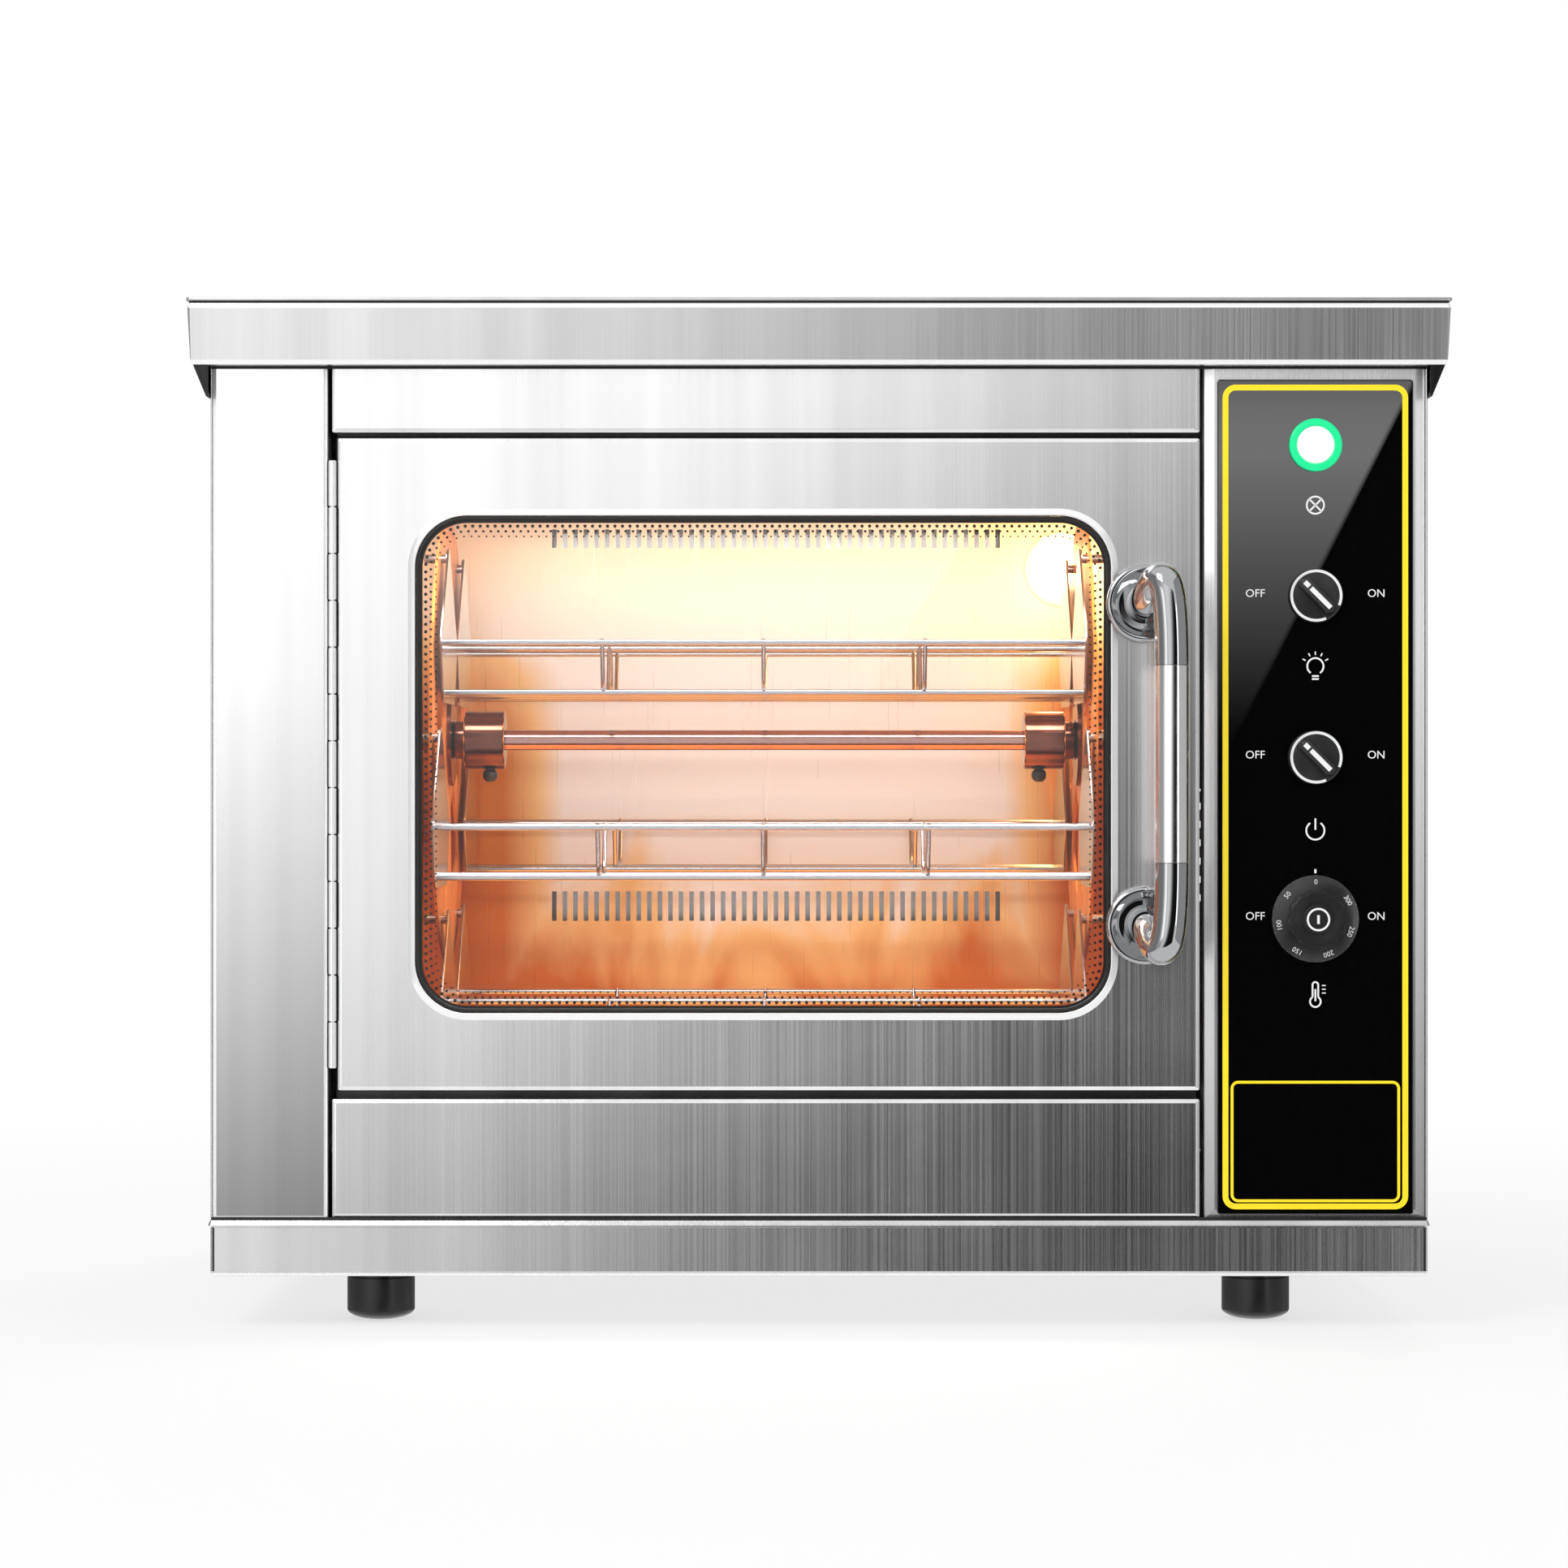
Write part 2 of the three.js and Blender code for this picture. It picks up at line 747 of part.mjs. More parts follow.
// A switch or thermostat behind the column, with a round neck that reaches the fascia.
function controlBody(name, drop, width, height) {
  const z = fasciaTop - drop;
  const front = frontY + sheet + seat;
  const body = block(
    [controlX - half(width), front, z - half(height)],
    [controlX + half(width), front + switchDepth, z + half(height)],
  );
  const neck = bar(neckDiameter, [controlX, frontY, z], [controlX, front + sheet, z], roundSides);
  const bore = stemDiameter + 2 * running;
  const depth = stemDepth + seat;
  const hole = bar(bore, [controlX, frontY - overrun, z], [controlX, frontY + depth, z], roundSides);
  return piece(name, cut(join([body, neck]), [hole]), mattBlack);
}

function switchKnob(name, drop) {
  const z = fasciaTop - drop;
  const back = fasciaFront - seat;
  const radius = half(knobDiameter);
  const profile = [
    [0, 0],
    [radius, 0],
    [radius, knobBase - knobChamfer],
    [radius - knobChamfer, knobBase],
    [0, knobBase],
  ];
  const plate = turned(profile, [0, 0, 0], [0, -1, 0], fineSides);
  const tip = { left: -half(knobBarWidth), right: half(knobBarWidth), radius: half(knobBarWidth) - seat };
  const pointer = { ...tip, bottom: -half(knobBarLength), top: half(knobBarLength) };
  const pointerFront = -knobBase - knobBarHeight;
  const handle = facing(roundedRectangle(pointer), pointerFront, half(knobBase) + knobBarHeight);
  const stem = bar(stemDiameter, [0, -half(knobBase), 0], [0, frontY + stemDepth - back, 0], roundSides);
  const knob = join([plate, handle, stem]).rotateY(-radians(offAngle)).translate(controlX, back, z);
  return piece(name, knob, mattBlack);
}

function thermostatKnob() {
  const z = fasciaTop - thermostatDrop;
  const back = fasciaFront - seat;
  const skirt = turned(
    [[0, 0], [half(skirtDiameter), 0], [half(dialDiameter), skirtHeight], [0, skirtHeight]],
    [0, 0, 0],
    [0, -1, 0],
    fineSides,
  );
  const points = [];
  const samples = 3 * dialFlutes;
  for (let i = 0; i < samples; i += 1) {
    const angle = (2 * Math.PI * i) / samples;
    const radius = half(dialDiameter) * (1 - fluteShare * half(1 - Math.cos(dialFlutes * angle)));
    points.push(new THREE.Vector2(radius * Math.cos(angle), radius * Math.sin(angle)));
  }
  const grip = facing(new THREE.Shape(points), -dialHeight, dialHeight - half(skirtHeight));
  const hub = turned([[0, 0], [half(dialHub), 0], [half(dialHub), dialHubHeight], [0, dialHubHeight]],
    [0, seat - dialHeight, 0], [0, -1, 0]);
  const stem = bar(stemDiameter, [0, -half(skirtHeight), 0], [0, frontY + stemDepth - back, 0], roundSides);
  return piece("thermostat_knob", join([skirt, grip, hub, stem]).translate(controlX, back, z), mattBlack);
}

// Oven liner

function linerFrame() {
  const shape = rectangle(panelLeft, panelRight, linerFloor, upperPanelBottom);
  shape.holes.push(rectangle(linerLeft, linerRight, mouthBottom, mouthTop, THREE.Path));
  return piece("liner_front_frame", facing(shape, frameFront, sheet), linerSteel);
}

function linerSide(name, inner, outward) {
  const outer = inner + outward * sheet;
  const wall = block(
    [Math.min(inner, outer), linerFront, linerFloor],
    [Math.max(inner, outer), linerBack, linerRoof],
  );
  const hole = bar(shaftHole, [inner - overrun, axisY, axisZ], [inner + overrun, axisY, axisZ], roundSides);
  return piece(name, cut(wall, [hole]), linerSteel);
}

function linerBackWall() {
  const front = linerBack + seat;
  const plate = block(
    [linerLeft - sheet, front, linerFloor - sheet],
    [linerRight + sheet, front + sheet, linerRoof + sheet],
  );
  const count = Math.floor((slotSpanShare * linerWidth) / slotPitch);
  const lampEdge = lampX() - half(lampFlange);
  const rows = [
    { bottom: linerFloor + returnSlotRiseShare * linerHeight, height: returnSlotHeight, end: linerRight },
    { bottom: linerRoof - airSlotDrop, height: airSlotHeight, end: lampEdge },
    { bottom: linerRoof - airSlotDrop - airRowPitch, height: airSlotHeight, end: lampEdge },
  ];
  const slots = [];
  rows.forEach(({ bottom, height, end }) => {
    for (let i = 0; i < count; i += 1) {
      const left = axisX + (i - half(count - 1)) * slotPitch - half(slotWidth);
      const low = [left, front - overrun, bottom];
      const high = [left + slotWidth, front + overrun, bottom + height];
      if (high[0] < end) slots.push(block(low, high));
    }
  });
  const lampHole = half(lampBody) + seat;
  slots.push(turned([[0, -overrun], [lampHole, -overrun], [lampHole, overrun], [0, overrun]],
    [lampX(), front, lampZ()], [0, 1, 0]));
  return piece("liner_back_wall", cut(plate, slots), linerSteel);
}

function linerSheet(name, inner, outward) {
  const outer = inner + outward * sheet;
  const sheetBlock = block(
    [linerLeft + seat, linerFront, Math.min(inner, outer)],
    [linerRight - seat, linerBack, Math.max(inner, outer)],
  );
  return piece(name, sheetBlock, linerSteel);
}

// A sinuous tubular heater whose two ends pass behind the back wall's plane line.
function heater(name, z) {
  const left = linerLeft + heaterEndGap;
  const right = linerRight - heaterEndGap;
  const corners = [];
  for (let i = 0; i < heaterRuns; i += 1) {
    const y = axisY + (i - half(heaterRuns - 1)) * heaterRunGap;
    const ends = i % 2 === 0 ? [right, left] : [left, right];
    corners.push([ends[0], y, z], [ends[1], y, z]);
  }
  corners[0][0] = linerRight - seat;
  corners[corners.length - 1][0] = linerRight - seat;
  const route = new BentRoute(corners, half(heaterRunGap) - seat, bendSteps);
  return piece(name, tube(route, heaterTube, rodSides), castMetal);
}

function crumbTray() {
  const low = [linerLeft + trayMargin, linerFront + trayMargin, linerFloor + seat];
  const high = [linerRight - trayMargin, linerBack - trayMargin, linerFloor + seat + trayHeight];
  const inner = low.map((value) => value + trayWall);
  const mouth = [high[0] - trayWall, high[1] - trayWall, high[2] + overrun];
  return piece("crumb_tray", cut(block(low, high), [block(inner, mouth)]), linerSteel);
}

// Lamp

const lampX = () => linerRight - lampSideInset;
const lampZ = () => linerRoof - lampDrop;

function addLamp(group) {
  const wallFace = linerBack + seat;
  const flange = [
    [0, -sheet - lampDepth],
    [half(lampBody), -sheet - lampDepth],
    [half(lampBody), seat],
    [half(lampFlange), seat],
    [half(lampFlange), seat + sheet],
    [0, seat + sheet],
  ];
  const radius = half(lampDiameter);
  const dome = [[0, 0], [radius, 0]];
  for (let i = 0; i < cornerSteps; i += 1) {
    const angle = (half(Math.PI) * i) / cornerSteps;
    dome.push([radius * Math.cos(angle), half(lampReach) + half(lampReach) * Math.sin(angle)]);
  }
  dome.push([0, lampReach]);
  const glassFace = wallFace - 2 * seat - sheet;
  const holder = turned(flange, [lampX(), wallFace, lampZ()], [0, -1, 0], hiddenSides);
  const glass = turned(dome, [lampX(), glassFace, lampZ()], [0, -1, 0]);
  group.add(piece("lamp_holder", holder, ceramic), piece("lamp_glass", glass, clearGlass));
}

// Wheel drive

function bearing(name, wallFace, outward) {
  const bore = half(shaftDiameter) + running;
  const profile = [
    [bore, 0],
    [half(bearingDiameter), 0],
    [half(bearingDiameter), bearingFlange],
    [half(bearingBoss), bearingFlange],
    [half(bearingBoss), bearingBossLength],
    [bore, bearingBossLength],
    [bore, 0],
  ];
  const face = wallFace + outward * (sheet + seat);
  return piece(name, turned(profile, [face, axisY, axisZ], [outward, 0, 0], hiddenSides), castMetal);
}

// The right bearing, the coupling and the bracket's web lie one after another along the shaft.
const bracketFace = linerRight + sheet + seat;
const couplingStart = bracketFace + bearingBossLength + 2 * running;
const couplingMiddle = couplingStart + half(couplingLength);
const couplingEnd = couplingStart + couplingLength;
const bracketWeb = couplingEnd + 2 * running;
const gearboxFace = bracketWeb + sheet + seat;

// A hat-shaped bracket that carries the gear motor clear of the hot liner wall.
function motorBracket() {
  const low = axisY - half(bracketWidth);
  const high = axisY + half(bracketWidth);
  const top = bracketWeb + sheet;
  const section = outline([
    [bracketFace, low - bracketFoot],
    [bracketFace + sheet, low - bracketFoot],
    [bracketFace + sheet, low - sheet],
    [top, low - sheet],
    [top, high + sheet],
    [bracketFace + sheet, high + sheet],
    [bracketFace + sheet, high + bracketFoot],
    [bracketFace, high + bracketFoot],
    [bracketFace, high],
    [top - sheet, high],
    [top - sheet, low],
    [bracketFace, low],
  ]);
  const hat = alongZ(section, axisZ - half(bracketHeight), axisZ + half(bracketHeight));
  const hole = bar(shaftHole, [top - overrun, axisY, axisZ], [top + overrun, axisY, axisZ], roundSides);
  return piece("motor_bracket", cut(hat, [hole]), galvanised);
}

function gearMotor() {
  const size = half(gearboxSize);
  const box = block(
    [gearboxFace, axisY - size, axisZ - size],
    [gearboxFace + gearboxLength, axisY + size, axisZ + size],
  );
  const motorStart = gearboxFace + gearboxLength - sheet;
  const motorEnd = motorStart + motorLength;
  const along = (diameter, from, to) => bar(diameter, [from, axisY, axisZ], [to, axisY, axisZ], roundSides);
  const can = along(motorDiameter, motorStart, motorEnd);
  const output = along(driveShaft, gearboxFace + sheet, couplingMiddle + seat);
  return piece("gear_motor", join([box, can, output]), castMetal);
}

// The coupling sleeve slides over the gear motor's shaft and over the end of the wheel shaft.
function driveCoupling() {
  const along = (diameter, from, to) => bar(diameter, [from, axisY, axisZ], [to, axisY, axisZ], roundSides);
  const sleeve = along(couplingDiameter, couplingStart, couplingEnd);
  const shaftSeat = along(shaftDiameter + 2 * seat, couplingStart - overrun, couplingMiddle);
  const driveSeat = along(driveShaft + 2 * running, couplingStart, couplingEnd + overrun);
  return piece("drive_coupling", cut(sleeve, [shaftSeat, driveSeat]), castMetal);
}

// Wheel

function wheelShaft() {
  const start = linerLeft - sheet - bearingBossLength;
  const end = couplingMiddle - seat;
  const shaft = bar(shaftDiameter, [start, axisY, axisZ], [end, axisY, axisZ], roundSides);
  return piece("wheel_shaft", shaft, polished);
}

// A rounded window between two pivots, drawn as a sector with blunted corners.
function discWindow(middle, spread) {
  const corner = (radius, angle) => new THREE.Vector2(radius * Math.cos(angle), radius * Math.sin(angle));
  const soften = windowCorner / windowOuter;
  const path = new THREE.Path();
  path.moveTo(...corner(windowInner, middle - half(spread)).toArray());
  path.lineTo(...corner(windowOuter - windowCorner, middle - half(spread)).toArray());
  path.lineTo(...corner(windowOuter, middle - half(spread) + soften).toArray());
  path.lineTo(...corner(windowOuter, middle + half(spread) - soften).toArray());
  path.lineTo(...corner(windowOuter - windowCorner, middle + half(spread)).toArray());
  path.lineTo(...corner(windowInner, middle + half(spread)).toArray());
  return path;
}

// A spider disc with six pivot holes, welded to a flanged hub that is clamped on the shaft.
function wheelDisc(name, side) {
  const between = (2 * Math.PI) / basketCount;
  const shape = polygon(discRadius, discSides);
  shape.holes.push(polygon(half(shaftDiameter) + seat, roundSides, THREE.Path));
  for (let i = 0; i < basketCount; i += 1) {
    const angle = i * between;
    const [y, z] = [pivotRadius * Math.cos(angle), pivotRadius * Math.sin(angle)];
    shape.holes.push(polygon(half(pivotPin) + running, barSides, THREE.Path, y, z));
    shape.holes.push(discWindow(angle, windowAngleShare * between));
  }
  const inner = axisX + side * discInner;
  const from = Math.min(inner, inner + side * discThickness);
  const disc = alongX(shape, from, from + discThickness).translate(0, axisY, axisZ);
  return piece(name, join([disc, hub(inner, side)]), brushed);
}

function hub(discFace, side) {
  const bore = half(shaftDiameter) + running;
  const collarStart = hubFlangeThickness + hubOffset;
  const profile = [
    [bore, -half(discThickness)],
    [half(hubFlange), -half(discThickness)],
    [half(hubFlange), hubFlangeThickness],
    [half(hubSleeve), hubFlangeThickness],
    [half(hubSleeve), collarStart],
    [half(hubDiameter), collarStart],
    [half(hubDiameter), collarStart + hubLength],
    [bore, collarStart + hubLength],
    [bore, -half(discThickness)],
  ];
  return turned(profile, [discFace, axisY, axisZ], [-side, 0, 0], hiddenSides);
}

// Baskets

// Sheet end plate: a rounded kite from the pivot out to the top rails and down to the floor rails.
function endPlateShape() {
  const edge = endPlateEdge;
  const corners = [
    [0, 0],
    [half(basketTopWidth), -railDrop],
    [half(basketFloorWidth), -basketDrop],
    [-half(basketFloorWidth), -basketDrop],
    [-half(basketTopWidth), -railDrop],
  ];
  const points = [];
  corners.forEach(([y, z], i) => {
    const [beforeY, beforeZ] = corners[(i + corners.length - 1) % corners.length];
    const [afterY, afterZ] = corners[(i + 1) % corners.length];
    const arriving = Math.atan2(z - beforeZ, y - beforeY) + half(Math.PI);
    const leaving = Math.atan2(afterZ - z, afterY - y) + half(Math.PI);
    const turn = ((leaving - arriving - 3 * Math.PI) % (2 * Math.PI)) + Math.PI;
    for (let k = 0; k <= 2; k += 1) {
      const angle = arriving + half(turn * k);
      points.push([y + edge * Math.cos(angle), z + edge * Math.sin(angle)]);
    }
  });
  return outline(points);
}

function basket(index) {
  const angle = (2 * Math.PI * index) / basketCount;
  const reach = half(basketLength);
  const parts = [];
  [-1, 1].forEach((side) => {
    const face = side * reach;
    const from = Math.min(face, face - side * endPlate);
    parts.push(alongX(endPlateShape(), from, from + endPlate));
    const pinStart = side * (reach - half(endPlate));
    parts.push(bar(pivotPin, [pinStart, 0, 0], [side * (reach + pinReach), 0, 0], barSides));
  });
  const rails = [
    [half(basketTopWidth), -railDrop],
    [half(basketFloorWidth), -basketDrop],
    [0, -basketDrop],
    [-half(basketFloorWidth), -basketDrop],
    [-half(basketTopWidth), -railDrop],
  ];
  const railEnd = reach - half(endPlate);
  rails.forEach(([y, z]) => parts.push(bar(wire, [-railEnd, y, z], [railEnd, y, z], wireSides)));
  for (let i = 1; i <= crossWires; i += 1) {
    const x = basketLength * (i / (crossWires + 1)) - reach;
    parts.push(crossWire(x));
  }
  const weldment = join(parts);
  const place = [axisX, axisY + pivotRadius * Math.cos(angle), axisZ + pivotRadius * Math.sin(angle)];
  return piece(`basket_${index + 1}`, weldment.translate(...place), polished);
}

// A bent wire hung over both top rails and under the floor rails.
function crossWire(x) {
  const top = half(basketTopWidth);
  const low = half(basketFloorWidth);
  const rise = half(wire) - railDrop;
  const corners = [[x, top, rise], [x, low, -basketDrop], [x, -low, -basketDrop], [x, -top, rise]];
  return tube(new BentRoute(corners, crossBendRadius, 1), thinWire, wireSides);
}

// Door

function doorSkin() {
  const tray = block([doorLeft, frontY, doorBottom], [doorRight, doorBack - sheet - seat, doorTop]);
  const hollow = block(
    [doorLeft + sheet, frontY + sheet, doorBottom + sheet],
    [doorRight - sheet, doorBack + overrun, doorTop - sheet],
  );
  const glazing = facing(roundedRectangle(windowBox), frontY - overrun, 2 * overrun);
  return piece("door_skin", cut(tray, [hollow, glazing]), brushed);
}

const glassFront = frontY + sheet + seat;
const glassBack = glassFront + glassThickness;

// The inner pan closes the door's back, and its collar presses the glass against the skin.
function doorInnerPan() {
  const plateShape = rectangle(doorLeft, doorRight, doorBottom, doorTop);
  plateShape.holes.push(roundedRectangle(windowBox, 0, THREE.Path));
  const collarShape = roundedRectangle(windowBox, sheet);
  collarShape.holes.push(roundedRectangle(windowBox, 0, THREE.Path));
  const plate = facing(plateShape, doorBack - sheet, sheet);
  const collar = facing(collarShape, glassBack + seat, doorBack - half(sheet) - glassBack - seat);
  return piece("door_inner_pan", join([plate, collar]), linerSteel);
}

function doorGlass() {
  const pane = facing(roundedRectangle(windowBox, glassOverlap), glassFront, glassThickness);
  return piece("door_glass", pane, clearGlass);
}

// The black gasket fills the edge of the window, and the polished bead frames it.
function addWindowEdge(group) {
  const gasketShape = roundedRectangle(windowBox, -seat);
  gasketShape.holes.push(roundedRectangle(windowBox, -gasketWidth, THREE.Path));
  const gasketFront = frontY - gasketHeight;
  const gasket = facing(gasketShape, gasketFront, glassFront - seat - gasketFront);
  group.add(piece("window_gasket", gasket, rubber));
  const chamfer = half(trimHeight);
  const beadShape = roundedRectangle(windowBox, trimWidth);
  beadShape.holes.push(roundedRectangle(windowBox, 0, THREE.Path));
  const bead = new THREE.ExtrudeGeometry(beadShape, {
    depth: trimHeight - 2 * half(chamfer),
    bevelThickness: half(chamfer),
    bevelSize: chamfer,
    bevelOffset: -chamfer,
    bevelSegments: 1,
    curveSegments: arcDivisions,
  });
  bead.rotateX(Math.PI / 2).translate(0, frontY - seat - half(chamfer), 0);
  group.add(piece("window_trim", bead, polished));
}

function doorSeal() {
  const outer = sealInset;
  const inner = sealInset + sealWidth;
  const shape = rectangle(doorLeft + outer, doorRight - outer, doorBottom + outer, doorTop - outer);
  const [left, right] = [doorLeft + inner, doorRight - inner];
  shape.holes.push(rectangle(left, right, doorBottom + inner, doorTop - inner, THREE.Path));
  return piece("door_seal", facing(shape, doorBack + seat, doorBackGap - 2 * seat), rubber);
}

function doorCatch() {
  const right = doorRight - sealInset - sealWidth - seat;
  const middle = doorMiddle;
  const magnet = block(
    [right - catchWidth, frameFront - seat - catchThickness, middle - half(catchHeight)],
    [right, frameFront - seat, middle + half(catchHeight)],
  );
  return piece("door_catch", magnet, mattBlack);
}

// Piano hinge: knuckles of the two leaves alternate along one pin.

function hingeLeaf(name, side, holdsPin) {
  const count = Math.floor((doorTop - doorBottom) / knucklePitch);
  const start = doorMiddle - half(count * knucklePitch);
  const edge = side < 0 ? columnRight + seat : doorLeft - seat;
  const face = edge - side * leafThickness;
  const leaf = block(
    [Math.min(edge, face), frontY - half(leafThickness), start],
    [Math.max(edge, face), frontY + leafDepth - sheet, start + count * knucklePitch],
  );
  const gaps = [];
  const knuckles = [];
  for (let i = 0; i < count; i += 1) {
    const low = start + i * knucklePitch;
    const high = low + knucklePitch;
    if ((i % 2 === 0) === holdsPin) {
      const [from, to] = [low + half(knuckleGap), high - half(knuckleGap)];
      knuckles.push(bar(barrelDiameter, [hingeX, frontY, from], [hingeX, frontY, to], barSides));
    } else {
      gaps.push(block([hingeX - barrelDiameter, frontY - barrelDiameter, low - half(knuckleGap)],
        [hingeX + barrelDiameter, frontY + half(barrelDiameter) + knuckleGap, high + half(knuckleGap)]));
    }
  }
  const end = start + count * knucklePitch;
  const rod = (diameter, low, high) => bar(diameter, [hingeX, frontY, low], [hingeX, frontY, high]);
  const barrels = join([cut(leaf, gaps), ...knuckles]);
  if (holdsPin) {
    const pin = rod(hingePin, start + knuckleGap, end - knuckleGap);
    return piece(name, join([barrels, pin]), polished);
  }
  const bore = rod(hingePin + 2 * running, start - overrun, end + overrun);
  return piece(name, cut(barrels, [bore]), polished);
}

// Handle

const gripY = frontY - handleReach + half(gripDiameter);
const rosetteX = doorRight - rosetteInset;
const gripX = rosetteX + gripShift;

// A rosette on the door, and a chrome bend that swings out from it into the grip.
function handleElbow(name, side) {
  const rosetteZ = doorMiddle + side * half(rosetteSpacing);
  const gripEnd = doorMiddle + side * (half(gripLength) + seat);
  const bossHeight = trimHeight + 2 * seat;
  const foot = frontY - seat - bossHeight - rosetteHeight;
  const standoff = foot - gripY;
  const bend = new THREE.CubicBezierCurve3(
    new THREE.Vector3(rosetteX, foot + half(rosetteHeight), rosetteZ),
    new THREE.Vector3(rosetteX, foot - elbowPullShare * standoff, rosetteZ),
    new THREE.Vector3(gripX, gripY, rosetteZ + side * elbowRise),
    new THREE.Vector3(gripX, gripY, gripEnd),
  );
  const radius = half(rosetteDiameter);
  const rosette = [
    [0, 0],
    [half(rosetteBoss), 0],
    [half(rosetteBoss), bossHeight],
    [radius, bossHeight],
    [radius, bossHeight + half(rosetteHeight)],
    [radius - half(rosetteHeight), bossHeight + rosetteHeight],
    [0, bossHeight + rosetteHeight],
  ];
  const disc = turned(rosette, [rosetteX, frontY - seat, rosetteZ], [0, -1, 0], fineSides);
  return piece(name, join([disc, tube(bend, gripDiameter, elbowSides, elbowSteps)]), polished);
}

function handleGrip() {
  const reach = half(gripLength);
  const ends = [[gripX, gripY, doorMiddle - reach], [gripX, gripY, doorMiddle + reach]];
  return piece("handle_grip", bar(gripDiameter, ...ends, elbowSides), polished);
}

// The whole roaster

function addCabinet(group) {
  addFeet(group);
  group.add(basePan(), topCover(), sidePanel("left_side_panel", -1), sidePanel("right_side_panel", 1));
  group.add(backPanel(), cableGland(), leftColumn(), controlColumn());
  group.add(crossPanel("upper_front_panel", upperPanelBottom, coverUnderside - seat));
  group.add(crossPanel("lower_front_panel", lowerPanelBottom, lowerPanelTop));
  group.add(hingeLeaf("cabinet_hinge_leaf", -1, true), doorCatch());
}

function addControls(group) {
  group.add(fascia());
  addIndicator(group);
  group.add(controlBody("lighting_switch_body", lightingDrop, switchWidth, switchWidth));
  group.add(controlBody("power_switch_body", powerDrop, switchWidth, switchWidth));
  group.add(controlBody("thermostat_body", thermostatDrop, thermostatWidth, switchWidth));
  group.add(switchKnob("lighting_switch_knob", lightingDrop));
  group.add(switchKnob("power_switch_knob", powerDrop));
  group.add(thermostatKnob());
}

function addOven(group) {
  group.add(linerFrame(), linerBackWall());
  group.add(linerSide("liner_left_wall", linerLeft, -1), linerSide("liner_right_wall", linerRight, 1));
  group.add(linerSheet("liner_floor", linerFloor, -1), linerSheet("liner_roof", linerRoof, 1));
  group.add(heater("lower_heater", linerFloor + lowerHeaterRise));
  group.add(heater("upper_heater", linerRoof - upperHeaterDrop), crumbTray());
  group.add(bearing("left_bearing", linerLeft, -1), bearing("right_bearing", linerRight, 1));
  group.add(motorBracket(), gearMotor());
  addLamp(group);
}

function addWheel(group) {
  group.add(wheelShaft(), driveCoupling());
  group.add(wheelDisc("left_wheel_disc", -1), wheelDisc("right_wheel_disc", 1));
  for (let i = 0; i < basketCount; i += 1) group.add(basket(i));
}

function addDoor(group) {
  group.add(doorSkin(), doorInnerPan(), doorGlass(), doorSeal(), hingeLeaf("door_hinge_leaf", 1, false));
  addWindowEdge(group);
  group.add(handleGrip(), handleElbow("upper_handle_elbow", 1), handleElbow("lower_handle_elbow", -1));
}

const roaster = new THREE.Group();
addCabinet(roaster);
addControls(roaster);
addOven(roaster);
addWheel(roaster);
addDoor(roaster);

export default roaster;
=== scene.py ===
import math

import bmesh
import bpy
import numpy as np
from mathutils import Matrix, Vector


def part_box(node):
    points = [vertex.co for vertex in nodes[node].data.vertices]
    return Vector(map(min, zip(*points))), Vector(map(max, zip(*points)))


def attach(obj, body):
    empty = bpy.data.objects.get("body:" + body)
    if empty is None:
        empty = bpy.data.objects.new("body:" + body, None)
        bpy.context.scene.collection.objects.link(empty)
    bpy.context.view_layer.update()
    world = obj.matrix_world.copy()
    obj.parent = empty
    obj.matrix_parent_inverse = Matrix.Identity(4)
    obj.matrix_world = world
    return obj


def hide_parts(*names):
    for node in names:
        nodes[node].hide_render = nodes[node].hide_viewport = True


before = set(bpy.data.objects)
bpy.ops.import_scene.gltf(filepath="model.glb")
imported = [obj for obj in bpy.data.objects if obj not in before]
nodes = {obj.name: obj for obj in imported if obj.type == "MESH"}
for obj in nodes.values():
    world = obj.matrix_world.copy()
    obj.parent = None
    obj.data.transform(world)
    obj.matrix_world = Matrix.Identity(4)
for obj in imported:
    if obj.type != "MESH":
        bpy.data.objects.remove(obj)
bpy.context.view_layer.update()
print("frame loaded,", len(nodes), "solids")

def linked(name, data):
    made = bpy.data.objects.new(name, data)
    bpy.context.scene.collection.objects.link(made)
    return made


# Camera: level, square to the front, a little left of the middle
cameraSet = {"x": -0.0224, "distance": 2.8, "height": 0.3494, "frameWidth": 1.0046, "sensor": 36.0}
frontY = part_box("door_skin")[0].y
eye = bpy.data.cameras.new("camera")
eye.sensor_width = cameraSet["sensor"]
eye.lens = cameraSet["sensor"] * cameraSet["distance"] / cameraSet["frameWidth"]
camera = linked("camera", eye)
camera.location = (cameraSet["x"], frontY - cameraSet["distance"], cameraSet["height"])
camera.rotation_euler = (math.pi / 2, 0, 0)
bpy.context.scene.camera = camera
bpy.context.scene.view_settings.view_transform = "Standard"
print("camera set")


# Shapes: every one is points by formula, then quads by index, then flat caps
# small steps that many profiles share: a hair of play, a crease, and a softened edge
hair, crease, soft = 0.0001, 0.0002, 0.0003
toFront, toBack, upwards = (0, -1, 0), (0, 1, 0), (0, 0, 1)


def gridFaces(rows, columns, closeRows=False, closeColumns=False):
    # point (r, c) is joined to (r, c+1), (r+1, c+1) and (r+1, c), counting round where closed
    lines = np.arange(rows - (not closeRows)), np.arange(columns - (not closeColumns))
    r, c = np.meshgrid(*lines, indexing="ij")
    here, above = r * columns, (r + 1) % rows * columns
    beside = (c + 1) % columns
    return np.stack([here + c, here + beside, above + beside, above + c], -1).reshape(-1, 4)


